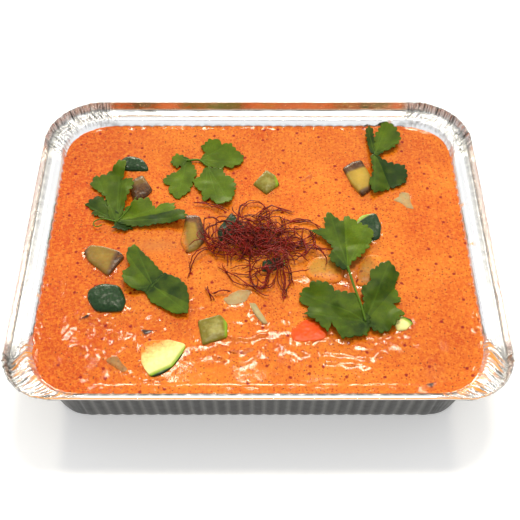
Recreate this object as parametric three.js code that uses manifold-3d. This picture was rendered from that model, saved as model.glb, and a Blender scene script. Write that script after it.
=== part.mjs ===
// A rectangular aluminium foil tray of orange curry with vegetable pieces, coriander sprigs and
// a tangle of dried chilli threads on top. Millimetres, +Z up, origin at the middle of the tray's
// flat bottom on the table, +X along the tray's long side, +Y towards its back.

import * as THREE from "three";
import { mergeVertices } from "three/addons/utils/BufferGeometryUtils.js";
import Module from "manifold-3d";

const wasm = await Module();
wasm.setup();

// ---------------------------------------------------------------- driving dimensions

// The tray: a half-size catering foil tray, outer sizes at the top of its upturned lip.
const TRAY_LENGTH = 322;
const TRAY_WIDTH = 262;
const TRAY_HEIGHT = 58;
// The corners' rounding: the wall's, and that of the rim, which is tighter at the front.
const WALL_RADIUS = 47;
const RIM_RADIUS_BACK = 42;
const RIM_RADIUS_FRONT = 34;
// Insets from the rim between which one rounding turns into the other.
const RIM_ROUNDING_END = 3;
const WALL_ROUNDING_START = 10;
const CORNER_STEPS = 9;
const FOIL = 0.5;
const LIP_HEIGHT = 8;
const LIP_FLARE = 4.2;
const LIP_EDGE = 1;
const FLANGE_WIDTH = 6;
const SHOULDER_RUN = 2.4;
const SHOULDER_DROP = 2.8;
const FLOOR_INSET = 22.9;
const FLOOR_ROUND = 2;
const FLUTES_LONG_SIDE = 29;
const FLUTES_SHORT_SIDE = 21;
const FLUTE_DEPTH = 1.3;

// The curry, filled to 5 mm under the flange.
const CURRY_LEVEL = 45;
const CURRY_RIPPLE = 0.3;
const RIPPLE_LENGTH = 46;
const RELIEF_CELL = 16;
const SIMPLIFY = 0.05;

// Clearance between neighbouring pieces.
const GAP = 0.35;

// Leaves and threads.
const LEAF_THICKNESS = 0.5;
const LEAF_CLEARANCE = 0.5;
const LEAF_INNER_RING = 0.55;
const LEAF_WAVE = 0.35;
const RIB_WIDTH = 1.3;
const RIB_STEPS = 2;
const RIB_REACH = 0.45;
const THREAD_WIDTH = 1;
const THREAD_STEP = 6.5;
const LOOSE_THREADS = 8;

const COLOURS = {
  foil: 0xc9cbcd,
  curry: 0xef8f3f,
  courgetteSkin: 0x3c5a35,
  courgetteFlesh: 0xc8cf74,
  aubergineFlesh: 0xa98f52,
  aubergineSkin: 0x4a3325,
  onion: 0xd2c28c,
  carrot: 0xf9702c,
  pepper: 0xc95a1e,
  coriander: 0x5c7d2d,
  chilli: 0x6f1f16,
};

// Vegetable pieces. `at` is the piece's place on the curry, `corners` its outline from above
// round that place, `top` how far it stands out of the curry, `depth` its full height, `crown`
// the share of its width that its top face keeps, `slope` the rise of its top per millimetre.
const VEGETABLES = [
  {
    name: "courgette_cap_back_left", colour: "courgetteSkin", at: [-93, 75], top: 3.5, depth: 14,
    crown: 0.72, slope: [0, 0.05],
    corners: [[-12, 2], [-8, 7], [-1, 8], [7, 4], [11, -3], [11, -7], [-10, -6]],
  },
  {
    name: "aubergine_glazed_back_left", colour: "aubergineSkin", at: [-86, 51], top: 3.6,
    depth: 13, crown: 0.6, slope: [0.03, 0],
    corners: [[-8, 8], [0, 14], [5, 5], [9, -2], [4, -9], [-5, -13], [-8, -2]],
  },
  {
    name: "aubergine_cut_left", colour: "aubergineFlesh", at: [-107, -14], top: 3, depth: 15,
    crown: 0.86, slope: [0.03, 0],
    corners: [[-15, 5], [-11, 12], [-1, 10], [10, 6], [15, 1], [10, -7], [5, -16], [-10, -3]],
  },
  {
    name: "courgette_dome_left", colour: "courgetteSkin", at: [-102, -47], top: 4.5, depth: 16,
    crown: 0.66, slope: [0, 0],
    corners: [[-13, 6], [-6, 11], [3, 11], [9, 9], [14, -3], [12, -12], [-6, -12], [-13, -1]],
  },
  {
    name: "aubergine_cut_centre", colour: "aubergineFlesh", at: [-46, 8], top: 3.2, depth: 14,
    crown: 0.74, slope: [0, -0.02],
    corners: [[-6, 18], [4, 17], [8, 5], [9, -7], [3, -15], [-4, -18], [-9, -7], [-7, 5]],
  },
  {
    name: "courgette_wedge_under_threads", colour: "courgetteSkin", at: [-20, 11], top: 3.4,
    depth: 14, crown: 0.55, slope: [0, 0.04],
    corners: [[1, 17], [11, 3], [7, -10], [-8, -10], [-9, 1]],
  },
  {
    name: "courgette_sliver_under_threads", colour: "courgetteSkin", at: [11, -19], top: 1.8,
    depth: 9, crown: 0.7, slope: [0, 0],
    corners: [[-8, 3], [1, 6], [9, 4], [7, -2], [-3, -7], [-9, -6]],
  },
  {
    name: "courgette_cube_back", colour: "courgetteFlesh", at: [7, 57], top: 3.6, depth: 15,
    crown: 0.78, slope: [0.03, 0.02],
    corners: [[-11, -2], [-1, 12], [6, 6], [9, -3], [-1, -12]],
  },
  {
    name: "courgette_cube_front", colour: "courgetteFlesh", at: [-28, -72], top: 2.6, depth: 15,
    crown: 0.86, slope: [0.02, 0],
    corners: [[-12, 6], [3, 11], [8, 4], [8, -7], [-8, -13]],
  },
  {
    name: "courgette_slice_front", colour: "courgetteFlesh", at: [-62, -93], top: 1.5, depth: 9,
    crown: 0.93, slope: [0.05, -0.06],
    corners: [[-14, 10], [-7, 13], [4, 13], [16, 9], [13, 0], [7, -9], [0, -14], [-6, -16], [-13, -5]],
  },
  {
    name: "onion_large_centre", colour: "onion", at: [-14, -47], top: 0.9, depth: 4,
    crown: 0.8, slope: [0, 0],
    corners: [[-10, -1], [-4, 4], [2, 7], [10, 6], [6, -3], [-1, -6], [-6, -6]],
  },
  {
    name: "onion_small_centre", colour: "onion", at: [0, -60], top: 1.3, depth: 4,
    crown: 0.7, slope: [0, 0],
    corners: [[-7, 9], [-2, 9], [7, -8], [3, -8], [-2, -1]],
  },
  {
    name: "onion_front_left", colour: "onion", at: [-90, -98], top: 0.7, depth: 4,
    crown: 0.8, slope: [0, 0],
    corners: [[-8, 2], [-5, 6], [0, 5], [3, 0], [8, -5], [4, -7], [-3, -2]],
  },
  {
    name: "carrot_chunk_front", colour: "carrot", at: [34, -74], top: 1.2, depth: 14,
    crown: 0.84, slope: [0, 0],
    corners: [[-13, 0], [-6, 8], [1, 10], [8, 6], [12, 1], [10, -6], [0, -8], [-11, -8]],
  },
  {
    name: "pepper_strip_front", colour: "pepper", at: [-9, -89], top: 0.7, depth: 5,
    crown: 0.7, slope: [0, 0],
    corners: [[-11, 0], [-3, 2], [7, 3], [8, -1], [-3, -3]],
  },
  {
    name: "aubergine_cut_right", colour: "aubergineFlesh", at: [75, 62], top: 3.6, depth: 16,
    crown: 0.8, slope: [0, -0.03],
    corners: [[-12, 9], [-4, 16], [3, 18], [9, 0], [8, -13], [1, -19], [-6, -8]],
  },
  {
    name: "onion_right", colour: "onion", at: [107, 39], top: 0.8, depth: 4,
    crown: 0.8, slope: [0, 0],
    corners: [[-9, 1], [-2, 9], [4, 8], [4, 0], [6, -8], [0, -6], [-3, -2]],
  },
  {
    name: "courgette_cap_right", colour: "courgetteSkin", at: [79, 13], top: 3.2, depth: 14,
    crown: 0.7, slope: [0.02, 0.02],
    corners: [[-12, 2], [-5, 12], [6, 14], [9, 2], [7, -9], [2, -12], [-6, -9]],
  },
  {
    name: "courgette_chunk_front_right", colour: "courgetteFlesh", at: [96, -68], top: 2.2,
    depth: 12, crown: 0.8, slope: [0, 0.04],
    corners: [[-7, 2], [-1, 6], [5, 3], [6, 0], [1, -5], [-5, -6]],
  },
  {
    name: "aubergine_lump_left", colour: "aubergineFlesh", at: [45, -24], top: 3, depth: 14,
    crown: 0.6, slope: [0, 0],
    corners: [[-14, 0], [-7, 11], [6, 13], [14, 5], [13, -10], [1, -12], [-11, -8]],
  },
  {
    name: "aubergine_lump_right", colour: "aubergineFlesh", at: [77, -24], top: 3, depth: 14,
    crown: 0.6, slope: [0, 0],
    corners: [[-8, 5], [-1, 14], [9, 13], [10, 0], [-1, -15], [-11, -13]],
  },
  {
    name: "aubergine_skin_scrap", colour: "aubergineSkin", at: [62, -51], top: 1.6, depth: 6,
    crown: 0.7, slope: [0, 0],
    corners: [[-7, 7], [3, 7], [6, 0], [3, -9], [-5, -6]],
  },
  {
    name: "carrot_chip_back", colour: "pepper", at: [37, 62], top: 0.6, depth: 4,
    crown: 0.7, slope: [0, 0],
    corners: [[-6, -3], [-1, 1], [4, 5], [4, -1], [-2, -4]],
  },
];

// Scraps smaller than a berry: they are one with the curry that they float in.
const SCRAP_FORM = { top: 0.6, depth: 3, crown: 0.7, slope: [0, 0] };
const SCRAPS = [
  { at: [-73, -74], corners: [[-4, 2], [5, 1], [-1, -3]] },
  { at: [-115, -62], corners: [[-4, -2], [4, 2], [3, -1]] },
  { at: [108, -114], corners: [[-3, 1], [3, 2], [1, -2]] },
];

// Coriander. Each blade has a rib from its `stalk` end towards its `heart`, the middle that its
// `edge` runs round as [degrees, reach] pairs, one for each tooth and notch. `rise` is the
// sprig's height over the food where its blades meet, `tip` a blade's height at its far end, and
// `roll` how much its left edge stands over its right one per millimetre, seen from the stalk.
const SPRIGS = [
  {
    name: "coriander_sprig_left", rise: 1.4,
    stems: [
      { width: 1.3, route: [[-101, 18], [-97, 24], [-91, 35], [-88, 44]] },
      { width: 1.1, route: [[-101, 18], [-111, 21], [-117, 19], [-118, 15], [-114, 12], [-111, 15]] },
    ],
    blades: [
      {
        heart: [-106, 49], stalk: [-101, 18], tip: 1.2, roll: 0,
        edge: [[0, 15], [26, 16], [53, 10], [72, 26], [84, 26], [102, 18], [134, 17], [136, 21],
          [167, 18], [185, 12], [244, 10], [270, 30], [283, 32], [306, 17]],
      },
      {
        heart: [-114, 31], stalk: [-101, 18], tip: 0.4, roll: 0,
        edge: [[48, 8], [96, 13], [136, 12], [161, 12], [201, 5], [224, 8], [276, 8], [309, 17],
          [335, 17]],
      },
      {
        heart: [-77, 24], stalk: [-101, 18], tip: 2.2, roll: -0.06,
        edge: [[7, 23], [16, 18], [35, 20], [55, 14], [65, 7], [97, 14], [128, 16], [160, 20],
          [190, 26], [194, 26], [220, 17], [256, 11], [325, 14], [341, 26], [352, 27]],
      },
      {
        heart: [-96, 14], stalk: [-101, 18], tip: 0.4, roll: 0,
        edge: [[43, 7], [135, 7], [194, 8], [286, 4], [346, 7]],
      },
    ],
  },
  {
    name: "coriander_sprig_back", rise: 0.8,
    stems: [{ width: 2, route: [[-54, 78], [-44, 79], [-38, 72]] }],
    blades: [
      {
        heart: [-61, 78], stalk: [-54, 78], tip: 0.4, roll: 0,
        edge: [[5, 10], [23, 8], [51, 7], [98, 8], [142, 5], [203, 5], [267, 7], [343, 9]],
      },
      {
        heart: [-58, 58], stalk: [-54, 78], tip: 0.5, roll: 0,
        edge: [[33, 15], [57, 18], [72, 22], [80, 22], [97, 10], [153, 11], [185, 13], [212, 9],
          [235, 13], [268, 18], [281, 15], [306, 13], [348, 10]],
      },
      {
        heart: [-29, 84], stalk: [-44, 79], tip: 0.7, roll: 0,
        edge: [[22, 14], [58, 15], [86, 12], [91, 17], [116, 19], [149, 17], [169, 11], [198, 16],
          [230, 15], [271, 15], [293, 12], [302, 16], [334, 19], [357, 18]],
      },
      {
        heart: [-32, 54], stalk: [-38, 72], tip: 1.6, roll: 0,
        edge: [[28, 15], [49, 12], [73, 17], [113, 19], [145, 14], [166, 17], [192, 14], [220, 12],
          [245, 19], [257, 14], [279, 22], [303, 22], [323, 18], [353, 16]],
      },
    ],
  },
  {
    name: "coriander_sprig_front_left", rise: 1,
    stems: [],
    blades: [
      {
        heart: [-80, -27], stalk: [-71.5, -38], tip: 1.2, roll: -0.03,
        edge: [[62, 12], [104, 24], [118, 21], [135, 15], [154, 8], [180, 12], [202, 13],
          [232, 15], [257, 16], [284, 16], [307, 15], [354, 16]],
      },
      {
        heart: [-60, -45], stalk: [-71.5, -38], tip: 2, roll: 0.03,
        edge: [[29, 13], [68, 14], [104, 18], [145, 15], [174, 16], [209, 13], [261, 12],
          [287, 17], [310, 21], [346, 14]],
      },
    ],
  },
  {
    name: "coriander_sprig_back_right", rise: 2,
    stems: [],
    blades: [
      {
        heart: [97, 100], stalk: [88, 83], tip: 5.5, roll: 0,
        edge: [[5, 12], [46, 13], [76, 15], [93, 15], [164, 8], [223, 12], [245, 22], [251, 19],
          [265, 13], [304, 12], [344, 12]],
      },
      {
        heart: [86, 102], stalk: [88, 83], tip: 4, roll: 0,
        edge: [[76, 9], [99, 10], [138, 5], [266, 19], [278, 23], [298, 9]],
      },
      {
        heart: [94, 62], stalk: [88, 83], tip: 0.5, roll: 0.05,
        edge: [[7, 17], [36, 19], [73, 14], [104, 21], [120, 20], [167, 9], [213, 15], [241, 21],
          [268, 14], [306, 13], [338, 16]],
      },
    ],
  },
  {
    name: "coriander_sprig_right", rise: 2.4,
    stems: [{ width: 2, route: [[61, -26], [64, -40], [68, -56], [70.5, -68]] }],
    blades: [
      {
        heart: [61, -2], stalk: [61, -26], tip: 2.6, roll: 0.05,
        edge: [[17, 21], [38, 21], [72, 19], [87, 24], [94, 18], [101, 22], [110, 30], [123, 26],
          [135, 19], [150, 22], [157, 27], [164, 17], [189, 12], [220, 12], [231, 21], [254, 25],
          [270, 28], [278, 20], [304, 17], [341, 17]],
      },
      {
        heart: [48, -58], stalk: [70.5, -68], tip: 0.8, roll: 0,
        edge: [[31, 21], [51, 17], [71, 15], [91, 20], [115, 24], [142, 25], [164, 21], [170, 14],
          [193, 18], [231, 14], [262, 19], [270, 12], [285, 24], [304, 26], [318, 31],
          [334, 28], [345, 27], [358, 21]],
      },
      {
        heart: [83, -52], stalk: [70.5, -68], tip: 1, roll: 0.03,
        edge: [[4, 13], [55, 16], [60, 27], [78, 33], [89, 30], [108, 24], [116, 16], [145, 17],
          [180, 13], [228, 21], [240, 23], [249, 24], [265, 25], [282, 22], [323, 17], [347, 7]],
      },
    ],
  },
];

// Dried chilli threads: a low matted core between the two pieces that it half hides, and the
// threads that stray out of it, each as a few points from the core to its free end.
const THREAD_CORE = {
  at: [-3, -2], top: 4.2, depth: 3.5, crown: 0.55, slope: [0, 0],
  corners: [[-27, 1], [-7, 1], [-3, 14], [8, 15], [17, 9], [25, 3], [23, -5], [6, -6], [-9, -12],
    [-22, -11]],
};
const STRAY_THREADS = [
  [[-4, 8], [-15, 26], [-29, 30], [-47, 33]],
  [[-22, -8], [-40, -10], [-47, -23], [-48, -31]],
  [[-4, -8], [-6, -30], [-16, -44], [-31, -45]],
  [[-20, -9], [-19, -27], [-8, -40], [9, -40]],
  [[-6, 6], [-12, 23], [-11, 33], [-4, 37]],
  [[4, 8], [9, 25], [4, 34], [-4, 37]],
  [[2, 8], [4, 27], [16, 31], [25, 31]],
  [[8, 6], [14, 16], [30, 17], [37, 20]],
  [[14, 2], [22, 4], [31, -5], [37, -8]],
  [[16, 0], [24, -9], [29, -15], [27, -21]],
  [[16, 2], [29, 8], [34, 6], [33, -6]],
  [[6, -4], [24, -24], [23, -40], [17, -46]],
  [[4, -5], [-1, -19], [1, -31], [2, -43]],
  [[-20, -3], [-31, 4], [-35, 14], [-39, 21]],
];

// ---------------------------------------------------------------- meshes and solids

// Rises smoothly from 0 at `low` to 1 at `high`.
function smoothstep(low, high, value) {
  const t = Math.min(Math.max((value - low) / (high - low), 0), 1);
  return t * t * (3 - 2 * t);
}

// A repeatable run of random numbers from 0 to 1.
function seededRandom(seed) {
  let state = seed;
  return () => {
    state = (state * 16807) % 2147483647;
    return state / 2147483647;
  };
}

function geometryFrom(points, triangles) {
  const geometry = new THREE.BufferGeometry();
  geometry.setAttribute("position", new THREE.Float32BufferAttribute(points.flat(), 3));
  geometry.setIndex(triangles.flat());
  return geometry;
}

// Skins a stack of rings, each an anticlockwise list of points, into one closed body. The first
// ring closes on the point `start` and the last one on `end`.
function loft(rings, start, end) {
  const count = rings[0].length;
  const points = [...rings.flat(), start, end];
  const startIndex = points.length - 2;
  const endIndex = points.length - 1;
  const lastRing = (rings.length - 1) * count;
  const triangles = [];
  for (let i = 0; i < count; i += 1) {
    const next = (i + 1) % count;
    triangles.push([startIndex, next, i]);
    triangles.push([endIndex, lastRing + i, lastRing + next]);
    for (let ring = 0; ring < rings.length - 1; ring += 1) {
      const below = ring * count;
      const above = below + count;
      triangles.push([below + i, below + next, above + next]);
      triangles.push([below + i, above + next, above + i]);
    }
  }
  return geometryFrom(points, triangles);
}

function solidFrom(geometry) {
  const bare = geometry.clone();
  bare.deleteAttribute("normal");
  bare.deleteAttribute("uv");
  const merged = mergeVertices(bare, 1e-5);
  return new wasm.Manifold(new wasm.Mesh({
    numProp: 3,
    vertProperties: new Float32Array(merged.attributes.position.array),
    triVerts: new Uint32Array(merged.index.array),
  }));
}

function geometryOf(solid) {
  const mesh = solid.getMesh();
  const geometry = new THREE.BufferGeometry();
  geometry.setAttribute("position", new THREE.Float32BufferAttribute(mesh.vertProperties, 3));
  geometry.setIndex([...mesh.triVerts]);
  return geometry;
}

// Joins closed geometries into one body, fills any hollow that this seals and merges faces too
// small to matter.
function joined(geometries) {
  const whole = geometries.map(solidFrom).reduce((sum, solid) => sum.add(solid));
  const shells = whole.simplify(SIMPLIFY).decompose();
  return shells.reduce((largest, shell) => (shell.volume() > largest.volume() ? shell : largest));
}

function namedMesh(name, geometry, colour, roughness, metalness = 0) {
  const material = new THREE.MeshStandardMaterial({ color: COLOURS[colour], roughness, metalness });
  const shaded = geometry.clone();
  shaded.computeVertexNormals();
  const mesh = new THREE.Mesh(shaded, material);
  mesh.name = name;
  return mesh;
}

// ---------------------------------------------------------------- the foil tray

// The four corners' arcs, anticlockwise from the back right one.
function cornerArcs(backRadius, frontRadius) {
  return [[1, 1], [-1, 1], [-1, -1], [1, -1]].map(([signX, signY]) => {
    const radius = signY > 0 ? backRadius : frontRadius;
    const centre = [signX * (TRAY_LENGTH / 2 - radius), signY * (TRAY_WIDTH / 2 - radius)];
    return { centre, radius };
  });
}

// The arc that lies a share `t` of the way between two others.
function arcBetween(from, to, t) {
  const centre = from.centre.map((value, axis) => value + (to.centre[axis] - value) * t);
  return { centre, radius: from.radius + (to.radius - from.radius) * t };
}

// Stations round the rim, anticlockwise: the arcs that the rim's and the wall's rounding follow,
// the outward direction, and the flute value, 0 on a ridge and 1 in a groove's middle.
function rimStations(flutesLong, flutesShort, cornerFlute) {
  const rims = cornerArcs(RIM_RADIUS_BACK, RIM_RADIUS_FRONT);
  const walls = cornerArcs(WALL_RADIUS, WALL_RADIUS);
  const stations = [];
  walls.forEach((wall, side) => {
    const before = (side + 3) % 4;
    const flutes = side % 2 === 0 ? flutesShort : flutesLong;
    const steps = Math.max(flutes * 2, 1);
    const facing = side * 90;
    for (let i = 1; i < steps; i += 1) {
      const along = arcBetween(walls[before], wall, i / steps);
      const outer = arcBetween(rims[before], rims[side], i / steps);
      stations.push({ rim: outer, wall: along, facing, flute: i % 2 });
    }
    for (let i = 0; i <= CORNER_STEPS; i += 1) {
      const ends = i === 0 || i === CORNER_STEPS;
      const turn = facing + (i * 90) / CORNER_STEPS;
      stations.push({ rim: rims[side], wall, facing: turn, flute: ends ? 0 : cornerFlute });
    }
  });
  return stations;
}

// The ring at one inset from the rim and one height. `fluting` is how much of the flute shows.
function rimRing(stations, inset, z, fluting = 0) {
  const share = smoothstep(RIM_ROUNDING_END, WALL_ROUNDING_START, inset);
  return stations.map(({ rim, wall, facing, flute }) => {
    const arc = arcBetween(rim, wall, share);
    const angle = THREE.MathUtils.degToRad(facing);
    const radius = arc.radius - inset + flute * fluting * FLUTE_DEPTH;
    const x = arc.centre[0] + radius * Math.cos(angle);
    return [x, arc.centre[1] + radius * Math.sin(angle), z];
  });
}

const FLANGE_TOP = TRAY_HEIGHT - LIP_HEIGHT + FOIL / 4;
const FLANGE_INSET = LIP_FLARE + FLANGE_WIDTH;
const WALL_TOP_INSET = FLANGE_INSET + SHOULDER_RUN;
const WALL_TOP = FLANGE_TOP - SHOULDER_DROP;

function foilTray() {
  const stations = rimStations(FLUTES_LONG_SIDE, FLUTES_SHORT_SIDE, 0.5);
  const wallSlope = (FLOOR_INSET - WALL_TOP_INSET) / (WALL_TOP - FOIL);
  const roundInset = FLOOR_INSET - FOIL - FLOOR_ROUND * wallSlope;
  const rings = [
    rimRing(stations, roundInset + FLOOR_ROUND, 0),
    rimRing(stations, roundInset, FLOOR_ROUND, 1),
    rimRing(stations, WALL_TOP_INSET - FOIL, WALL_TOP, 1),
    rimRing(stations, FLANGE_INSET - FOIL / 2, FLANGE_TOP - FOIL),
    rimRing(stations, LIP_FLARE - FOIL, FLANGE_TOP - FOIL),
    rimRing(stations, 0, TRAY_HEIGHT),
    rimRing(stations, LIP_EDGE, TRAY_HEIGHT),
    rimRing(stations, LIP_FLARE + FOIL / 2, FLANGE_TOP),
    rimRing(stations, FLANGE_INSET, FLANGE_TOP),
    rimRing(stations, WALL_TOP_INSET, WALL_TOP, 1),
    rimRing(stations, FLOOR_INSET + FLOOR_ROUND, FOIL),
  ];
  return namedMesh("foil_tray", loft(rings, [0, 0, 0], [0, 0, FOIL]), "foil", 0.25, 1);
}

// ---------------------------------------------------------------- food pieces

// Cuts each corner of an outline in two, so that it reads as rounded.
function roundedOutline(corners) {
  const share = 0.22;
  return corners.flatMap(([x, y], i) => {
    const [nx, ny] = corners[(i + 1) % corners.length];
    const near = [x + (nx - x) * share, y + (ny - y) * share];
    const far = [nx + (x - nx) * share, ny + (y - ny) * share];
    return [near, far];
  });
}

// A cut piece of vegetable, with its top above the curry and its foot in it. `grow` makes it
// larger all round, for the hollow that the curry leaves for it.
function pieceGeometry(piece, grow = 0) {
  const outline = roundedOutline(piece.corners).reverse();
  const [atX, atY] = piece.at;
  const [slopeX, slopeY] = piece.slope;
  const foot = CURRY_LEVEL + piece.top - piece.depth - grow;
  const crest = CURRY_LEVEL + piece.top + grow;
  const ring = (scale, z) => outline.map(([x, y]) => {
    const wider = 1 + (grow * 2) / Math.hypot(x, y);
    const px = x * scale * wider;
    const py = y * scale * wider;
    return [atX + px, atY + py, z + px * slopeX + py * slopeY];
  });
  const rings = [
    ring(0.8, foot),
    ring(1, crest - piece.top * 0.75),
    ring(piece.crown, crest - piece.top * 0.12),
  ];
  return loft(rings, [atX, atY, foot], [atX, atY, crest]);
}

function vegetables() {
  return VEGETABLES.map((piece) => namedMesh(piece.name, pieceGeometry(piece), piece.colour, 0.4));
}

// ---------------------------------------------------------------- the curry

// Height of the curry's gently uneven surface.
function curryHeight(x, y) {
  const across = Math.sin((x * 2 * Math.PI) / RIPPLE_LENGTH + 1.3 * Math.sin(y / RIPPLE_LENGTH));
  const along = Math.cos((y * 2 * Math.PI) / (RIPPLE_LENGTH * 1.4) + 0.02 * x);
  return CURRY_LEVEL + CURRY_RIPPLE * across * along;
}

// A block whose top is the curry's surface, wider than the tray.
function surfaceBlock() {
  const cellsX = Math.round(TRAY_LENGTH / RELIEF_CELL);
  const cellsY = Math.round(TRAY_WIDTH / RELIEF_CELL);
  const block = new THREE.BoxGeometry(TRAY_LENGTH, TRAY_WIDTH, TRAY_HEIGHT, cellsX, cellsY, 1);
  const position = block.attributes.position;
  for (let i = 0; i < position.count; i += 1) {
    const top = position.getZ(i) > 0;
    position.setZ(i, top ? curryHeight(position.getX(i), position.getY(i)) : FOIL + GAP);
  }
  return solidFrom(block);
}

// The room inside the tray, up to its rim, clear of the wall's inward ridges.
function trayRoom() {
  const stations = rimStations(0, 0, 0);
  const slope = (FLOOR_INSET + FLOOR_ROUND - WALL_TOP_INSET) / (WALL_TOP - FOIL);
  const insetAt = (z) => WALL_TOP_INSET + GAP + (WALL_TOP - z) * slope;
  const rings = [rimRing(stations, insetAt(0), 0), rimRing(stations, insetAt(WALL_TOP), WALL_TOP)];
  return solidFrom(loft(rings, [0, 0, 0], [0, 0, WALL_TOP]));
}

function curry() {
  let body = surfaceBlock().intersect(trayRoom());
  for (const piece of VEGETABLES) {
    body = body.subtract(solidFrom(pieceGeometry(piece, GAP)));
  }
  for (const scrap of SCRAPS) {
    body = body.add(solidFrom(pieceGeometry({ ...SCRAP_FORM, ...scrap })));
  }
  return namedMesh("curry", geometryOf(body.asOriginal().simplify(SIMPLIFY)), "curry", 0.35);
}

// ---------------------------------------------------------------- what lies on the food

// Height of the food's surface under a leaf or thread: the curry with a soft swelling over each
// piece that stands out of it.
function foodHeight(x, y) {
  const swell = VEGETABLES.map((piece) => {
    const reachX = Math.max(...piece.corners.map(([cx]) => Math.abs(cx))) + 1;
    const reachY = Math.max(...piece.corners.map(([, cy]) => Math.abs(cy))) + 1;
    const away = Math.hypot((x - piece.at[0]) / reachX, (y - piece.at[1]) / reachY);
    return (piece.top + 0.6) * (1 - smoothstep(1, 1.45, away));
  });
  return CURRY_LEVEL + CURRY_RIPPLE + Math.max(...swell);
}

// ---------------------------------------------------------------- coriander

// Height of a blade's lower face at any place, from its sprig's rise, its tip and its roll.
function bladeHeight(blade, rise) {
  const [hx, hy] = blade.heart;
  const [sx, sy] = blade.stalk;
  const reach = Math.max(...blade.edge.map(([, distance]) => distance));
  const length = Math.hypot(hx - sx, hy - sy) + reach * 0.7;
  const axis = Math.atan2(hy - sy, hx - sx);
  return (x, y) => {
    const along = (x - sx) * Math.cos(axis) + (y - sy) * Math.sin(axis);
    const aside = (y - sy) * Math.cos(axis) - (x - sx) * Math.sin(axis);
    const t = smoothstep(0, length, along);
    const wave = LEAF_WAVE * Math.sin(x / 3.5) * Math.cos(y / 4) * smoothstep(4, 14, along);
    const lift = rise * (1 - t) + blade.tip * t + blade.roll * aside + wave;
    return foodHeight(x, y) + LEAF_CLEARANCE + Math.max(lift, 0);
  };
}

// A thin wavy blade: its upper and lower face are the same net of triangles.
function bladeGeometry(blade, rise) {
  const [hx, hy] = blade.heart;
  const height = bladeHeight(blade, rise);
  const outline = blade.edge.map(([degrees, reach]) => {
    const angle = THREE.MathUtils.degToRad(degrees);
    return [Math.cos(angle) * reach, Math.sin(angle) * reach];
  });
  const count = outline.length;
  const flat = [[hx, hy]];
  [LEAF_INNER_RING, 1].forEach((scale) => {
    outline.forEach(([x, y]) => flat.push([hx + x * scale, hy + y * scale]));
  });
  const lower = flat.map(([x, y]) => [x, y, height(x, y)]);
  const upper = lower.map(([x, y, z]) => [x, y, z + LEAF_THICKNESS]);
  const face = [];
  const rim = [];
  for (let i = 0; i < count; i += 1) {
    const next = (i + 1) % count;
    const inner = 1 + i;
    const innerNext = 1 + next;
    const outer = inner + count;
    const outerNext = innerNext + count;
    face.push([0, inner, innerNext], [inner, outer, outerNext], [inner, outerNext, innerNext]);
    rim.push([outer, outerNext, outer + flat.length]);
    rim.push([outerNext, outerNext + flat.length, outer + flat.length]);
  }
  const upperFace = face.map((corner) => corner.map((index) => index + flat.length));
  const lowerFace = face.map(([a, b, c]) => [a, c, b]);
  return geometryFrom([...lower, ...upper], [...upperFace, ...lowerFace, ...rim]);
}

// A stem or thread with few sides along a curve of points.
function strand(points, width, sides, steps) {
  const section = new THREE.Shape();
  for (let i = 0; i < sides; i += 1) {
    const angle = (i * 2 * Math.PI) / sides;
    const corner = [(Math.cos(angle) * width) / 2, (Math.sin(angle) * width) / 2];
    if (i === 0) section.moveTo(...corner);
    else section.lineTo(...corner);
  }
  const path = new THREE.CatmullRomCurve3(points.map((point) => new THREE.Vector3(...point)));
  return new THREE.ExtrudeGeometry(section, { extrudePath: path, steps, curveSegments: 1 });
}

// The rib that carries a blade, from the stalk part of the way to the blade's heart.
function ribGeometry(blade, rise) {
  const height = bladeHeight(blade, rise);
  const points = [];
  for (let i = 0; i <= RIB_STEPS; i += 1) {
    const t = (i * RIB_REACH) / RIB_STEPS;
    const x = blade.stalk[0] + (blade.heart[0] - blade.stalk[0]) * t;
    const y = blade.stalk[1] + (blade.heart[1] - blade.stalk[1]) * t;
    points.push([x, y, height(x, y) + LEAF_THICKNESS / 2]);
  }
  return strand(points, RIB_WIDTH, 4, RIB_STEPS);
}

function stemGeometry({ width, route }, rise) {
  const points = route.map(([x, y]) => {
    return [x, y, foodHeight(x, y) + LEAF_CLEARANCE + rise + LEAF_THICKNESS / 2];
  });
  return strand(points, width, 4, (route.length - 1) * 2);
}

function sprigs() {
  return SPRIGS.map(({ name, rise, stems, blades }) => {
    const pieces = [
      ...blades.map((blade) => bladeGeometry(blade, rise)),
      ...blades.map((blade) => ribGeometry(blade, rise)),
      ...stems.map((stem) => stemGeometry(stem, rise)),
    ];
    return namedMesh(name, geometryOf(joined(pieces)), "coriander", 0.55);
  });
}

// ---------------------------------------------------------------- chilli threads

function threadGeometry(places, arch) {
  const flat = new THREE.CatmullRomCurve3(places.map(([x, y]) => new THREE.Vector3(x, y, 0)));
  const steps = Math.ceil(flat.getLength() / THREAD_STEP);
  const points = flat.getSpacedPoints(steps).map(({ x, y }, i) => {
    const t = i / steps;
    const core = THREAD_CORE.top * 0.55 * (1 - smoothstep(0, 0.3, t));
    const z = foodHeight(x, y) + THREAD_WIDTH / 2 + GAP + Math.max(core, arch * Math.sin(Math.PI * t));
    return [x, y, z];
  });
  return strand(points, THREAD_WIDTH, 3, steps);
}

// Short arcs that start and end in the core and bulge out of it on every side.
function looseThreads() {
  const random = seededRandom(21);
  const arcs = [];
  for (let i = 0; i < LOOSE_THREADS; i += 1) {
    const around = (i * 2 * Math.PI) / LOOSE_THREADS + random() * 0.4;
    const out = 1.05 + random() * 0.3;
    const start = [-4 + 12 * Math.cos(around - 0.5), 1 + 4 * Math.sin(around - 0.5)];
    const bulge = [-3 + 27 * out * Math.cos(around), 1 + 14 * out * Math.sin(around)];
    const end = [-4 + 14 * Math.cos(around + 0.6), 1 + 5 * Math.sin(around + 0.6)];
    arcs.push(threadGeometry([start, bulge, end], 1 + random() * 2));
  }
  return arcs;
}

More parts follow.
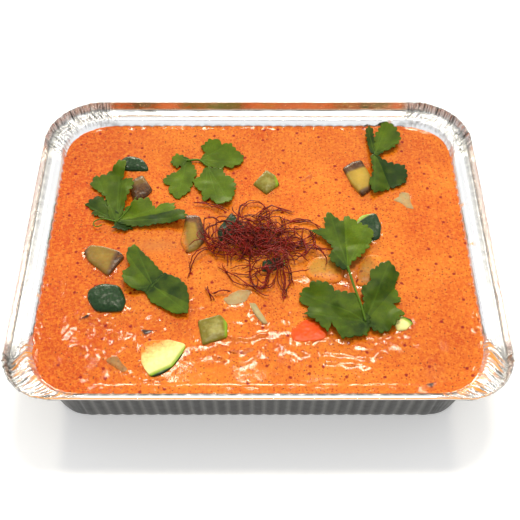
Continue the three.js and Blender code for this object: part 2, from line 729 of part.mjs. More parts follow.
function chilliThreads() {
  const random = seededRandom(5);
  const strays = STRAY_THREADS.map((places) => threadGeometry(places, 0.6 + random() * 1.6));
  const solid = joined([pieceGeometry(THREAD_CORE), ...strays, ...looseThreads()]);
  return namedMesh("chilli_threads", geometryOf(solid), "chilli", 0.6);
}

// ---------------------------------------------------------------- the whole

const trayOfCurry = new THREE.Group();
trayOfCurry.add(foilTray(), curry(), ...vegetables(), ...sprigs(), chilliThreads());

export default trayOfCurry;
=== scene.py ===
# %% [markdown]
# # A foil tray of curry
# The object is a half-size aluminium foil tray filled with orange coconut curry. Pieces of
# courgette, aubergine, onion and carrot stand out of the curry, five sprigs of coriander lie on it
# and a tangle of dried chilli threads sits in the middle.
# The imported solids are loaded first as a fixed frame. Every piece made here stands for one of
# those solids, in the same place, and rides on the tray's one body.

# %% The frame
import math

import bpy
import numpy as np
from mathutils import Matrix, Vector, noise


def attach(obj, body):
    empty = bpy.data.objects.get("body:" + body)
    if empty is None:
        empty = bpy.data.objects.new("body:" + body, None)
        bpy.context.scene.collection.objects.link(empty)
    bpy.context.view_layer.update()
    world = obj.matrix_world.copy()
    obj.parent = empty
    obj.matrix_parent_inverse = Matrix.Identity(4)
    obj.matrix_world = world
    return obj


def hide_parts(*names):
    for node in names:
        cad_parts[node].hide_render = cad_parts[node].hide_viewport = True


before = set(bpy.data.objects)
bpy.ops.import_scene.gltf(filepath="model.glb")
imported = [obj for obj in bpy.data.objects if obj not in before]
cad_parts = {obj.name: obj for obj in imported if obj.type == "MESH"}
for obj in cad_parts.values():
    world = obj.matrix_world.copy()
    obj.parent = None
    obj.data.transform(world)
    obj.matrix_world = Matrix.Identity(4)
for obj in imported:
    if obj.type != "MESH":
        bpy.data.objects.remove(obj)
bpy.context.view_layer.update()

print("solids in the frame:", len(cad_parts))

# %% [markdown]
# ## Lengths, colours and nodes
# Lengths are written in millimetres, as a maker would, and become metres when a mesh is made.
# Colours are written as the sRGB hex values that a colour picker shows. Shaders work in linear
# light, so one function turns them. One more function adds a node with its settings and links,
# which keeps each material short enough to read. A finish is built up in coats: one colour
# covers another where a value at that place says so.

# %% Small helpers
MM = 0.001


def linear(hex_colour):
    """The linear RGBA value of an sRGB colour such as "e8863a"."""
    values = [int(hex_colour[i:i + 2], 16) / 255 for i in (0, 2, 4)]
    return [v / 12.92 if v <= 0.04045 else ((v + 0.055) / 1.055) ** 2.4 for v in values] + [1.0]


def feed(tree, node, inputs):
    """Sets inputs, each to a number, a colour, a socket, or a node whose first output is meant."""
    for key, value in inputs.items():
        if isinstance(value, bpy.types.Node):
            value = value.outputs[0]
        if isinstance(value, bpy.types.NodeSocket):
            tree.links.new(value, node.inputs[key])
        else:
            node.inputs[key].default_value = value


def add(tree, kind, inputs=None, **settings):
    """Adds a node with its settings and its inputs."""
    node = tree.nodes.new(kind)
    for key, value in settings.items():
        setattr(node, key, value)
    feed(tree, node, inputs or {})
    return node


def new_material(name):
    """A material with an empty Principled surface, its node tree and that surface."""
    material = bpy.data.materials.new(name)
    material.use_nodes = True
    tree = material.node_tree
    tree.nodes.clear()
    surface = add(tree, "ShaderNodeBsdfPrincipled")
    add(tree, "ShaderNodeOutputMaterial", {"Surface": surface})
    print("material:", name)
    return material, tree, surface


def place_in_mm(tree):
    """A socket with the point's place on the object in millimetres."""
    place = add(tree, "ShaderNodeTexCoord").outputs["Object"]
    return add(tree, "ShaderNodeVectorMath", {0: place, "Scale": 1 / MM}, operation="SCALE").outputs["Vector"]


def coat(tree, colour, tint, value, low=0.0, high=1.0, most=1.0):
    """The colour covered by a tint: not where the value is low, and by `most` where it is high."""
    cover = add(tree, "ShaderNodeMapRange", {"Value": value, 1: low, 2: high, 4: most})
    return add(tree, "ShaderNodeMix", {0: cover, 6: colour, 7: tint}, data_type="RGBA").outputs[2]


def smoothstep(low, high, value):
    """Rises smoothly from 0 at low to 1 at high."""
    t = np.clip((value - low) / (high - low), 0.0, 1.0)
    return t * t * (3 - 2 * t)


def roughen(points, size, seed):
    """Smooth noise from -1 to 1 at each point, with lumps about `size` mm across."""
    return np.array([noise.noise(Vector((x / size, y / size, z / size + seed))) for x, y, z in points])


# %% [markdown]
# ## From arrays to pieces
# NumPy is quicker than placing vertices by hand when a surface has thousands of them. Each piece
# is a stack of rings with the same number of points, skinned into one closed body, so its faces
# point outwards and no seam is open. Numbers that the material needs at each point, such as how
# much of it is skin, are kept as attributes on the mesh.

# %% Meshes from rings
def skin_rings(rings):
    """Points and faces of the closed body through a stack of anticlockwise rings, lowest first."""
    stack = np.array(rings)
    levels, count = stack.shape[:2]
    index = np.arange(levels * count).reshape(levels, count)
    after = np.roll(index, -1, axis=1)
    faces = np.stack([index[:-1], after[:-1], after[1:], index[1:]], axis=-1).reshape(-1, 4).tolist()
    points = np.vstack([stack.reshape(-1, 3), stack[0].mean(axis=0), stack[-1].mean(axis=0)])
    bottom, top = levels * count, levels * count + 1
    faces += [[bottom, b, a] for a, b in zip(index[0], after[0])]
    faces += [[top, a, b] for a, b in zip(index[-1], after[-1])]
    return points, faces


def new_object(name, data):
    """An object in the scene, at the origin."""
    thing = bpy.data.objects.new(name, data)
    bpy.context.scene.collection.objects.link(thing)
    return thing


def make_piece(name, points, faces, material, attributes):
    """A smooth mesh object from points in mm, with a number for each point in each attribute."""
    mesh = bpy.data.meshes.new(name)
    mesh.from_pydata((np.asarray(points) * MM).tolist(), [], faces)
    for key, values in attributes.items():
        layer = mesh.attributes.new(key, "FLOAT", "POINT")
        layer.data.foreach_set("value", np.asarray(values, dtype=np.float32))
    mesh.polygons.foreach_set("use_smooth", [True] * len(mesh.polygons))
    mesh.materials.append(material)
    return new_object(name, mesh)


def declare(piece, solid):
    """Says what a finished piece rides on and the solid it stands for."""
    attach(piece, "root")
    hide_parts(solid)
    print(f"{piece.name}: {len(piece.data.polygons)} faces")


# %% [markdown]
# ## Camera
# The camera stands where the photograph was taken from: in front of the tray, looking down at it
# by 52.5 degrees. The lens is moved sideways by a hair, because the tray's middle is not quite
# the picture's middle.

# %% Camera
LOOKS_DOWN = 52.5
camera = new_object("camera", bpy.data.cameras.new("camera"))
camera.data.lens = 64.18
camera.data.sensor_width = 36
camera.data.shift_x = 0.00365
camera.data.clip_start = 0.01
camera.location = (0, -0.406, 0.555)
camera.rotation_euler = (math.radians(90 - LOOKS_DOWN), 0, 0)
bpy.context.scene.camera = camera
print("camera looks down by", LOOKS_DOWN, "degrees")

# %% [markdown]
# ## Light and floor
# Foil is a mirror, so it looks like whatever stands round it. Surroundings that are white behind
# the tray and darker in front of it give clean white foil with grey lines in its folds. Small,
# strong and slightly warm lights give what is wet its sparkle: a ceiling panel shines in the
# lumps, two lights beside it in their sides, and a low window behind in the line along the front
# edge. The floor is plain and pale.

# %% Studio
WARM_LIGHT = (1.0, 0.92, 0.76)
LIT_PLACE = (0, 0, 0.04)
world = bpy.data.worlds.new("studio")
world.use_nodes = True
bpy.context.scene.world = world
tree = world.node_tree
tree.nodes.clear()
direction = add(tree, "ShaderNodeTexCoord").outputs["Generated"]
# Seen in the foil, a dark shape stands high in front and the room is darker low in front.
overhead = add(tree, "ShaderNodeVectorMath", {0: direction, 1: (0, -0.375, 0.927)},
               operation="DOT_PRODUCT").outputs["Value"]
shape = add(tree, "ShaderNodeMapRange", {"Value": overhead, 1: 0.984, 2: 0.995, 3: 1.0, 4: 0.25})
forward = add(tree, "ShaderNodeSeparateXYZ", {0: direction}).outputs["Y"]
room = add(tree, "ShaderNodeMapRange", {"Value": forward, 1: -0.97, 2: -0.86, 3: 0.4, 4: 1.0})
mirrored = add(tree, "ShaderNodeMath", {0: shape, 1: room}, operation="MULTIPLY")
# Straight to the camera the surroundings are white, and as light on matt things they are softer.
ray = add(tree, "ShaderNodeLightPath").outputs
plain = add(tree, "ShaderNodeMix", {0: ray["Is Camera Ray"], 2: 0.71, 3: 1.0}, data_type="FLOAT")
brightness = add(tree, "ShaderNodeMix", {0: ray["Is Glossy Ray"], 2: plain, 3: mirrored}, data_type="FLOAT")
background = add(tree, "ShaderNodeBackground", {"Color": (1, 1, 1, 1), "Strength": brightness})
add(tree, "ShaderNodeOutputWorld", {"Surface": background})
bpy.context.scene.view_settings.view_transform = "Standard"


def soft_light(name, place, width, depth, watts):
    """A rectangular light of that size in metres that faces the tray."""
    light = bpy.data.lights.new(name, "AREA")
    light.shape = "RECTANGLE"
    light.size, light.size_y, light.energy = width, depth, watts
    light.color = WARM_LIGHT
    lamp = new_object(name, light)
    lamp.location = place
    lamp.rotation_euler = (Vector(LIT_PLACE) - Vector(place)).to_track_quat("-Z", "Y").to_euler()


soft_light("ceiling_panel", (0.1, 0.43, 1.5), 0.6, 0.15, 15.4)
soft_light("ceiling_right", (1.0, 1.15, 1.5), 0.25, 0.25, 7.5)
soft_light("ceiling_left", (-1.0, 1.15, 1.5), 0.25, 0.25, 7.5)
soft_light("window_behind", (-0.15, 1.7, 0.42), 1.1, 0.16, 20.0)
print("lights:", [light.name for light in bpy.data.lights])

# %% Floor
FLOOR_REACH = 3
# Matt paper hardly shines, and a faint glow of its own keeps it as pale as it looks by daylight.
paper, tree, surface = new_material("matt_paper_floor")
feed(tree, surface, {"Base Color": linear("fefefe"), "Roughness": 0.9,
                     "Emission Color": (1, 1, 1, 1), "Emission Strength": 0.25})
floor_mesh = bpy.data.meshes.new("floor")
floor_corners = [(x * FLOOR_REACH, y * FLOOR_REACH, 0) for x, y in ((-1, -1), (1, -1), (1, 1), (-1, 1))]
floor_mesh.from_pydata(floor_corners, [], [[0, 1, 2, 3]])
floor_mesh.materials.append(paper)
floor = new_object("floor", floor_mesh)

# %% [markdown]
# ## The foil
# The tray is pressed from one sheet of aluminium foil. Its inside is bright rolled foil, which
# mirrors the curry and the light, and its outside is duller and painted darker, as shade. Some folds
# and lines of the lip and the flange are painted dark as shade, and the inner lip is painted orange
# as a reflection of the curry. Fine scratches and dents break the mirror up. Orange oil has run into
# the wrinkles of the front corners and dried there, so the mesh carries how much oil lies at each
# point, and the material turns less metallic there.

# %% Foil material
foil, tree, surface = new_material("aluminium_foil")
place = place_in_mm(tree)
read = {key: add(tree, "ShaderNodeAttribute", attribute_name=key).outputs["Fac"]
        for key in ("dull_and_shaded", "ridge", "curry_reflection_and_hem_line", "oil", "around", "inset", "wrinkled")}
# Painted highlight: the dull outer flutes are painted lighter in a line where two of them meet.
dull_shade_and_ridge_light = coat(tree, linear("4b4a47"), linear("7d7c77"), read["ridge"])
# Painted shade: where the foil is dull it takes a darker grey, which also paints dark folds and lines on the
# lip and flange.
colour = coat(tree, linear("f2f3f4"), dull_shade_and_ridge_light, read["dull_and_shaded"])
# Painted reflection of the curry on the inner lip; the same tint marks a line along the front hem.
colour = coat(tree, colour, linear("fad0a6"), read["curry_reflection_and_hem_line"])
colour = coat(tree, colour, linear("dc8a14"), read["oil"])
metal = add(tree, "ShaderNodeMath", {0: 1.0, 1: read["oil"]}, operation="SUBTRACT")
scuffs = add(tree, "ShaderNodeTexNoise", {"Vector": place, "Scale": 0.22, "Detail": 5, "Roughness": 0.7})
bright_rough = add(tree, "ShaderNodeMapRange", {"Value": scuffs, 3: 0.07, 4: 0.26})
rough = add(tree, "ShaderNodeMath", {0: read["dull_and_shaded"], 1: 0.22, 2: bright_rough}, operation="MULTIPLY_ADD")
# Dents about 9 mm across, and fine crinkles about 1.5 mm across.
dents = add(tree, "ShaderNodeTexNoise", {"Vector": place, "Scale": 0.11, "Detail": 2})
crinkles = add(tree, "ShaderNodeTexNoise", {"Vector": place, "Scale": 0.65, "Detail": 3})
bump = add(tree, "ShaderNodeBump", {"Strength": 0.25, "Distance": 0.0012, "Height": dents})
bump = add(tree, "ShaderNodeBump", {"Strength": 0.12, "Distance": 0.0004, "Height": crinkles, "Normal": bump})
# Corner wrinkles about a millimetre apart that run straight in from the rim.
inwards = add(tree, "ShaderNodeMath", {0: read["inset"], 1: 0.16}, operation="MULTIPLY")
unrolled = add(tree, "ShaderNodeCombineXYZ", {"X": read["around"], "Y": inwards})
wrinkles = add(tree, "ShaderNodeTexNoise", {"Vector": unrolled, "Scale": 0.75, "Detail": 4, "Roughness": 0.7})
raised = add(tree, "ShaderNodeMath", {0: wrinkles, 1: read["wrinkled"]}, operation="MULTIPLY")
bump = add(tree, "ShaderNodeBump", {"Strength": 1.0, "Distance": 0.0014, "Height": raised, "Normal": bump})
# Light that enters a deep crease bounces about in it, so the creases are darker too.
deep = add(tree, "ShaderNodeMapRange", {"Value": wrinkles, 1: 0.49, 2: 0.4})
crease = add(tree, "ShaderNodeMath", {0: deep, 1: read["wrinkled"]}, operation="MULTIPLY")
colour = coat(tree, colour, linear("6b6a66"), crease)
feed(tree, surface, {"Base Color": colour, "Metallic": metal, "Roughness": rough, "Normal": bump})

# %% [markdown]
# ## The tray's rim line
# Everything on the tray follows one line, a rectangle with round corners. Stations are set along
# it, close together where the pressed flutes and the corner wrinkles need them, and each ring of
# the tray is that line moved inwards by an inset and up to a height.

# %% Stations round the rim
TRAY_LENGTH, TRAY_WIDTH, TRAY_HEIGHT = 322, 262, 58
CORNER_RADIUS, RIM_RADIUS_BACK, RIM_RADIUS_FRONT = 47, 42, 34
FLUTES_LONG, FLUTES_SHORT, FLUTE_DEPTH = 29, 21, 1.3
POINTS_PER_FLUTE, CORNER_POINTS = 7, 160


def corner_arcs(back_radius, front_radius):
    """Centre x, centre y and radius of each corner's rounding, anticlockwise from the back right."""
    signs = ((1, 1, back_radius), (-1, 1, back_radius), (-1, -1, front_radius), (1, -1, front_radius))
    return [np.array([sx * (TRAY_LENGTH / 2 - r), sy * (TRAY_WIDTH / 2 - r), r]) for sx, sy, r in signs]


def rim_stations():
    """For each station: the wall's arc, the rim's arc, outward angle, flute count, corner and turn."""
    walls, rims = corner_arcs(CORNER_RADIUS, CORNER_RADIUS), corner_arcs(RIM_RADIUS_BACK, RIM_RADIUS_FRONT)
    rows = []
    for side in range(4):
        flutes = FLUTES_LONG if side % 2 else FLUTES_SHORT
        steps = flutes * POINTS_PER_FLUTE
        for i in range(1, steps):
            t = i / steps
            wall = walls[side - 1] * (1 - t) + walls[side] * t
            rim = rims[side - 1] * (1 - t) + rims[side] * t
            rows.append((*wall, *rim, side * 90, t * flutes, -1, 0))
        for i in range(CORNER_POINTS + 1):
            t = i / CORNER_POINTS
            rows.append((*walls[side], *rims[side], side * 90 + 90 * t, 0, side, t))
    return np.array(rows)


stations = rim_stations()
centres, rim_arcs, flute_count = stations[:, :3], stations[:, 3:6], stations[:, 7]
outward = np.stack([np.cos(np.radians(stations[:, 6])), np.sin(np.radians(stations[:, 6]))], axis=1)
in_corner, corner_turn = stations[:, 8], stations[:, 9]
rim_length = (RIM_RADIUS_BACK + RIM_RADIUS_FRONT) / 2 * np.pi / 2
rim_points = rim_arcs[:, :2] + outward * rim_arcs[:, 2:]
around = np.cumsum(np.hypot(*(rim_points - np.roll(rim_points, 1, axis=0)).T))
past_corner = np.abs(centres[:, :2]) - (TRAY_LENGTH / 2 - CORNER_RADIUS, TRAY_WIDTH / 2 - CORNER_RADIUS)
wrinkled = smoothstep(9, 0, np.abs(past_corner).max(axis=1))
print("stations round the rim:", len(stations))


def flange_growth(out_x, out_y):
    """How much wider than drawn the flange is, in mm: wide at the sides, narrow at the front."""
    return 2.2 * out_x ** 2 + np.where(out_y > 0, 2.1, -2.4) * out_y ** 2


def rim_ring(inset, z):
    """The rim line moved inwards by inset, at height z. The rounding turns from the rim's to the wall's."""
    inset = np.broadcast_to(inset, len(stations))
    share = smoothstep(3, 10, inset)
    arcs = rim_arcs * (1 - share)[:, None] + centres * share[:, None]
    reach = arcs[:, 2] - inset - flange_growth(outward[:, 0], outward[:, 1]) * share
    return np.column_stack([arcs[:, :2] + outward * reach[:, None], np.broadcast_to(z, len(stations))])


# %% [markdown]
# ## Wrinkles in the corners
# A flat sheet cannot bend round a corner without having too much edge, so the press gathers the
# spare foil into pleats. They run straight out from the corner's middle, and the deepest ones
# bunch where the corner starts and ends. Each pleat here is a narrow bump at a seeded random
# place along the corner, and their sum moves the foil up on the flange and outwards on the lip.

# %% Pleats
PLEATS_PER_CORNER, STREAKS_PER_FRONT_CORNER = 70, 64
random = np.random.default_rng(7)
pleats = np.zeros(len(stations))
streaks = []
for corner in range(4):
    here = in_corner == corner
    along = corner_turn[here] * rim_length
    for _ in range(PLEATS_PER_CORNER):
        middle, width = random.uniform(-1, rim_length + 1), random.uniform(0.4, 1.1)
        bunch = 1 + 1.1 * np.exp(-(min(middle, rim_length - middle) / 7) ** 2)
        height = random.choice([-1, 1]) * random.uniform(0.15, 0.45) * bunch
        pleats[here] += height * np.exp(-((along - middle) / width) ** 2)
    # A streak of oil: how much at each station, and the insets where it starts and ends.
    for _ in range(STREAKS_PER_FRONT_CORNER if corner > 1 else 0):
        streak = np.zeros(len(stations))
        middle, width = random.uniform(1, rim_length - 1), random.uniform(0.28, 0.5)
        start = random.uniform(4, 10)
        streak[here] = random.uniform(0.9, 2.2) * np.exp(-((along - middle) / width) ** 2)
        streaks.append((streak, start, start + random.uniform(1.5, 6)))
    pleats[here] *= smoothstep(0, 2.5, along) * smoothstep(0, 2.5, rim_length - along)
print("deepest pleat:", round(float(np.abs(pleats).max()), 2), "mm")

# %% [markdown]
# ## The tray's section
# The section is drawn from under the floor, up the outside, over the hem, and down the inside.
# Each point has an inset from the rim, a height, how much of the flutes it shows, how much it is
# moved by the pleats upwards and outwards, and how dull it is, which also paints shade as darker
# grey in folds and lines. The lip leans out by about 20 degrees above a soft fold. That lean decides
# what it mirrors: the back lip shows the curry.

# %% Section points
# inset, height, flutes, pleat up, pleat out, dullness with painted shade
SECTION = {
    "outside": (
        (46.5, 0, 0, 0, 0, 1), (30, 0, 0, 0, 0, 1), (24.9, 0, 0, 0, 0, 1), (23.4, 0.35, 0.1, 0, 0, 1),
        (22.5, 1.3, 0.35, 0, 0, 1), (21.9, 3.2, 0.7, 0, 0.2, 1), (20.4, 10, 1, 0, 0.3, 1),
        (18.2, 20, 1, 0, 0.3, 1), (16, 30, 1, 0, 0.3, 1), (13.8, 40, 1, 0, 0.3, 1),
        (12.7, 45.3, 1, 0, 0.2, 1), (12.2, 47.2, 0.9, 0, 0.1, 1), (11.3, 48.6, 0.3, 0, 0, 1),
        (10, 49.5, 0, 0.2, 0, 1), (8, 49.6, 0, 0.4, 0, 1), (5.6, 49.5, 0, 0.5, 0, 1),
        (4.4, 49.8, 0, 0.7, 0, 1), (3.2, 50.9, 0, 0.4, 0.4, 1), (2.4, 52.6, 0, 0.2, 0.8, 1),
        (1.7, 54.4, 0, 0, 1, 0.8)),
    "hem": (
        (1, 56.2, 0, 0, 1, 0.6), (0.35, 56.7, 0, 0, 0.7, 0.3), (0.1, 57.2, 0, 0, 0.5, 0),
        (0.25, 57.7, 0, 0, 0.5, 0.25), (0.7, 58, 0, 0, 0.6, 0.6), (1.05, 57.85, 0, 0, 0.8, 0.25)),
    "inner lip": (
        (1.2, 57.4, 0, 0, 1, 0), (1.5, 56.4, 0, 0, 1, 0), (1.85, 55.3, 0, 0, 1, 0),
        (2.2, 54.2, 0, 0, 0.9, 0), (2.55, 53.1, 0, 0.2, 0.8, 0), (2.87, 52.1, 0, 0.4, 0.6, 0.5)),
    "inside": (
        (3.2, 51.4, 0, 0.7, 0.4, 0.6), (3.9, 50.85, 0, 0.9, 0.2, 0.6), (5, 50.5, 0, 0.9, 0.1, 0.55),
        (6, 50.25, 0, 0.8, 0, 0.2), (6.3, 49.95, 0, 0.7, 0, 0), (6.6, 50.2, 0, 0.7, 0, 0),
        (7.4, 50.25, 0, 0.6, 0, 0), (8.6, 50.2, 0, 0.6, 0, 0), (9.7, 50.05, 0, 0.5, 0, 0),
        (10.5, 49.6, 0, 0.4, 0.1, 0), (11.3, 48.75, 0, 0.3, 0.2, 0), (12.1, 47.75, 0, 0.2, 0.3, 0),
        (12.9, 46.7, 0.1, 0, 0.3, 0), (13.5, 45.9, 0.5, 0, 0.3, 0), (14, 45.1, 1, 0, 0.3, 0),
        (14.4, 44, 1, 0, 0.3, 0), (15.2, 40, 1, 0, 0.3, 0), (18.9, 20, 1, 0, 0.3, 0),
        (22.3, 3.6, 1, 0, 0.2, 0), (23.2, 1.2, 0.4, 0, 0, 0), (25, 0.5, 0, 0, 0, 0),
        (46.5, 0.5, 0, 0, 0, 0)),
}
PLEAT_OUT = 0.9

# %% What lies on the foil
# Drops of oil on the flange: place.
DROPS = ((102, 117), (116, 113), (131, 97), (147, 33), (149, -4), (144, -38), (-147, -47))
DROP_RADIUS, STREAK_END = 1.3, 0.7
# The hem's top carries oil along the front, and a little more of it is brown.
OILED_FROM, BROWN_FROM = 57.8, 57.6
out_x, out_y = outward.T
front, back = smoothstep(0.9, 1, -out_y), smoothstep(0.8, 1, out_y)


def broken(ring, level, strength, size, seed):
    """How much of a line shows at each station, when noise breaks it up."""
    return np.clip(level + strength * roughen(ring, size, seed), 0, 1)


def dullness_and_shade(part, ring, inset, dull_and_shaded):
    """How dull the foil is, with painted shade: bright inside, but the lip's and flange's folds are dark."""
    if part in ("inner lip", "inside"):
        dull_and_shaded = dull_and_shaded * out_x ** 2
        # Painted shade: a dark line at the back crease and along the front flange's inner edge.
        if 2.8 < inset < 4.5:
            dull_and_shaded = np.maximum(dull_and_shaded, broken(ring, 0.45, 0.9, 13, 2.0) * back)
        if 9.5 < inset < 12.5:
            dull_and_shaded = np.maximum(dull_and_shaded, broken(ring, 1.1, 0.8, 6, 4.0) * front)
    # Painted shade: dark folds on the hem and the lip in the front corners.
    if part in ("hem", "inner lip"):
        folds = np.minimum(broken(ring, 0.3, 1.1, 3.2, 6.0), 0.9)
        dull_and_shaded = np.maximum(dull_and_shaded, folds * wrinkled * smoothstep(0, 0.2, -out_y))
    return dull_and_shaded


def oil_on(part, ring, inset, z):
    """How much oil lies there: streaks on the front corners, drops, and a line on the front hem."""
    oil = np.zeros(len(stations))
    if part in ("inner lip", "inside"):
        for streak, start, end in streaks:
            begun = smoothstep(start - STREAK_END, start + STREAK_END, inset)
            oil = oil + streak * begun * smoothstep(end + STREAK_END, end - STREAK_END, inset)
        oil = np.clip(oil, 0, 1)
        for drop in DROPS:
            away = np.hypot(*(ring[:, :2] - drop).T)
            oil = np.maximum(oil, 0.9 * np.exp(-(away / DROP_RADIUS) ** 2))
    return np.maximum(oil, 0.95 * front) if part == "hem" and z > OILED_FROM else oil


def reflection_and_hem_line_on(part, z):
    """Painted reflection of the curry on the inner lip, most at the back; a brown line on the front hem."""
    if part == "inner lip":
        return (0.35 + 0.65 * smoothstep(0.6, 1, out_y)) * (1 - 0.7 * wrinkled)
    return smoothstep(0.8, 1, -out_y) if part == "hem" and z > BROWN_FROM else 0


# %% Rings of the tray
SWAY_SIZES, SWAY = (38, 31, 24), (0.25, 0.25, 0.18)
# Painted highlight: where two flutes meet on the outside.
ridge = (in_corner < 0) * smoothstep(0.8, 0.05, np.abs(np.sin(np.pi * flute_count)))
rings, attributes = [], {}
for part, rows in SECTION.items():
    for inset, z, flutes, lift, push, dull_and_shaded in rows:
        ring = rim_ring(inset - pleats * push * PLEAT_OUT, z + pleats * lift)
        rings.append(ring)
        # The back wall's flutes are weaker near their top.
        if 12.5 < inset < 13.8:
            flutes = flutes * (1 - 0.7 * smoothstep(0.3, 0.8, out_y))
        shown = {"flutes": flutes, "flute_count": flute_count, "ridge": ridge, "out_x": out_x, "out_y": out_y,
                 "dull_and_shaded": dullness_and_shade(part, ring, inset, dull_and_shaded), "oil": oil_on(part, ring, inset, z),
                 "curry_reflection_and_hem_line": reflection_and_hem_line_on(part, z), "around": around, "inset": inset,
                 "wrinkled": wrinkled * smoothstep(13, 9, inset)}
        for key, values in shown.items():
            attributes.setdefault(key, []).append(np.broadcast_to(values, len(stations)))
points, faces = skin_rings(rings)
# The sheet is never quite straight: it sways a little where it stands high.
sway = np.stack([roughen(points, size, seed) for size, seed in zip(SWAY_SIZES, (3.0, 9.0, 5.0))], axis=1)
points = points + sway * smoothstep(30, 50, points[:, 2:3]) * np.array(SWAY)
points = np.clip(points, (-TRAY_LENGTH / 2, -TRAY_WIDTH / 2, 0), (TRAY_LENGTH / 2, TRAY_WIDTH / 2, TRAY_HEIGHT))
attributes = {key: np.append(np.concatenate(values), [0, 0]) for key, values in attributes.items()}
print("points of the section:", len(rings))

# %% [markdown]
# ## Flutes
# The straight walls are pressed into upright flutes, rounded grooves that meet in sharp ridges
# on the inside. They repeat along a path, so a Geometry Nodes tree presses them in: the height of
# a wave that counts the flutes moves each wall point straight outwards. The corners stay smooth.

# %% Trees and their results
def new_tree(name, inputs, result):
    """An empty Geometry Nodes tree with named inputs and one result, and the sockets of its inputs."""
    tree = bpy.data.node_groups.new(name, "GeometryNodeTree")
    for label, kind in inputs.items():
        tree.interface.new_socket(name=label, in_out="INPUT", socket_type="NodeSocket" + kind)
    tree.interface.new_socket(name=result, in_out="OUTPUT", socket_type="NodeSocketGeometry")
    return tree, add(tree, "NodeGroupInput").outputs


def end_tree(tree, shape, material):
    """Ends a tree: instances become real and the shape gets its material."""
    whole = add(tree, "GeometryNodeRealizeInstances", {"Geometry": shape})
    finished = add(tree, "GeometryNodeSetMaterial", {"Geometry": whole, "Material": material})
    add(tree, "NodeGroupOutput", {0: finished})
    return tree


def apply_nodes(holder, tree, values):
    """Runs a Geometry Nodes tree on an object and keeps the result as a plain mesh."""
    modifier = holder.modifiers.new(tree.name, "NODES")
    modifier.node_group = tree
    sockets = {item.name: item.identifier for item in tree.interface.items_tree if item.in_out == "INPUT"}
    for key, value in values.items():
        modifier[sockets[key]] = value
    depsgraph = bpy.context.evaluated_depsgraph_get()
    mesh = bpy.data.meshes.new_from_object(holder.evaluated_get(depsgraph), depsgraph=depsgraph)
    holder.modifiers.clear()
    holder.data = mesh


# %% Flute tree
FLUTE_SHARPNESS = 0.8


def flute_tree():
    """Moves each wall point outwards by the wave that counts its flutes."""
    tree, given = new_tree("press_flutes", {"Foil": "Geometry", "Flute depth": "Float", "Sharpness": "Float",
                                            "Material": "Material"}, "Foil")
    read = {}
    for key in ("flutes", "flute_count", "out_x", "out_y"):
        named = add(tree, "GeometryNodeInputNamedAttribute", {"Name": key}, data_type="FLOAT")
        read[key] = named.outputs["Attribute"]
    phase = add(tree, "ShaderNodeMath", {0: read["flute_count"], 1: math.pi}, operation="MULTIPLY")
    wave = add(tree, "ShaderNodeMath", {0: phase}, operation="SINE")
    groove = add(tree, "ShaderNodeMath", {0: wave}, operation="ABSOLUTE")
    shaped = add(tree, "ShaderNodeMath", {0: groove, 1: given["Sharpness"]}, operation="POWER")
    depth = add(tree, "ShaderNodeMath", {0: shaped, 1: read["flutes"]}, operation="MULTIPLY")
    moved = add(tree, "ShaderNodeMath", {0: depth, 1: given["Flute depth"]}, operation="MULTIPLY")
    outwards = add(tree, "ShaderNodeCombineXYZ", {"X": read["out_x"], "Y": read["out_y"]})
    offset = add(tree, "ShaderNodeVectorMath", {0: outwards, "Scale": moved}, operation="SCALE")
    pressed = add(tree, "GeometryNodeSetPosition", {"Geometry": given["Foil"], "Offset": offset})
    return end_tree(tree, pressed, given["Material"])


# %% Foil tray
tray = make_piece("fluted_foil_tray", points, faces, foil, attributes)
apply_nodes(tray, flute_tree(), {"Flute depth": FLUTE_DEPTH * MM, "Sharpness": FLUTE_SHARPNESS,
                                 "Material": foil})
declare(tray, "foil_tray")
print("tray height:", round(max(v.co.z for v in tray.data.vertices) / MM, 1), "mm")

# %% [markdown]
# ## The curry
# The curry is a thick coconut sauce. Its surface is nearly level, but it climbs a little up the
# foil and up every piece that stands in it, and that small climb is what catches the light as a
# bright line. Here and there it is lumpy over pieces that lie just under the surface. The mesh
# carries these forms, down to a few millimetres, and the material carries the grain.

# %% What stands in the curry
CURRY_LEVEL, CURRY_RIPPLE, RIPPLE_LENGTH = 45, 0.3, 46
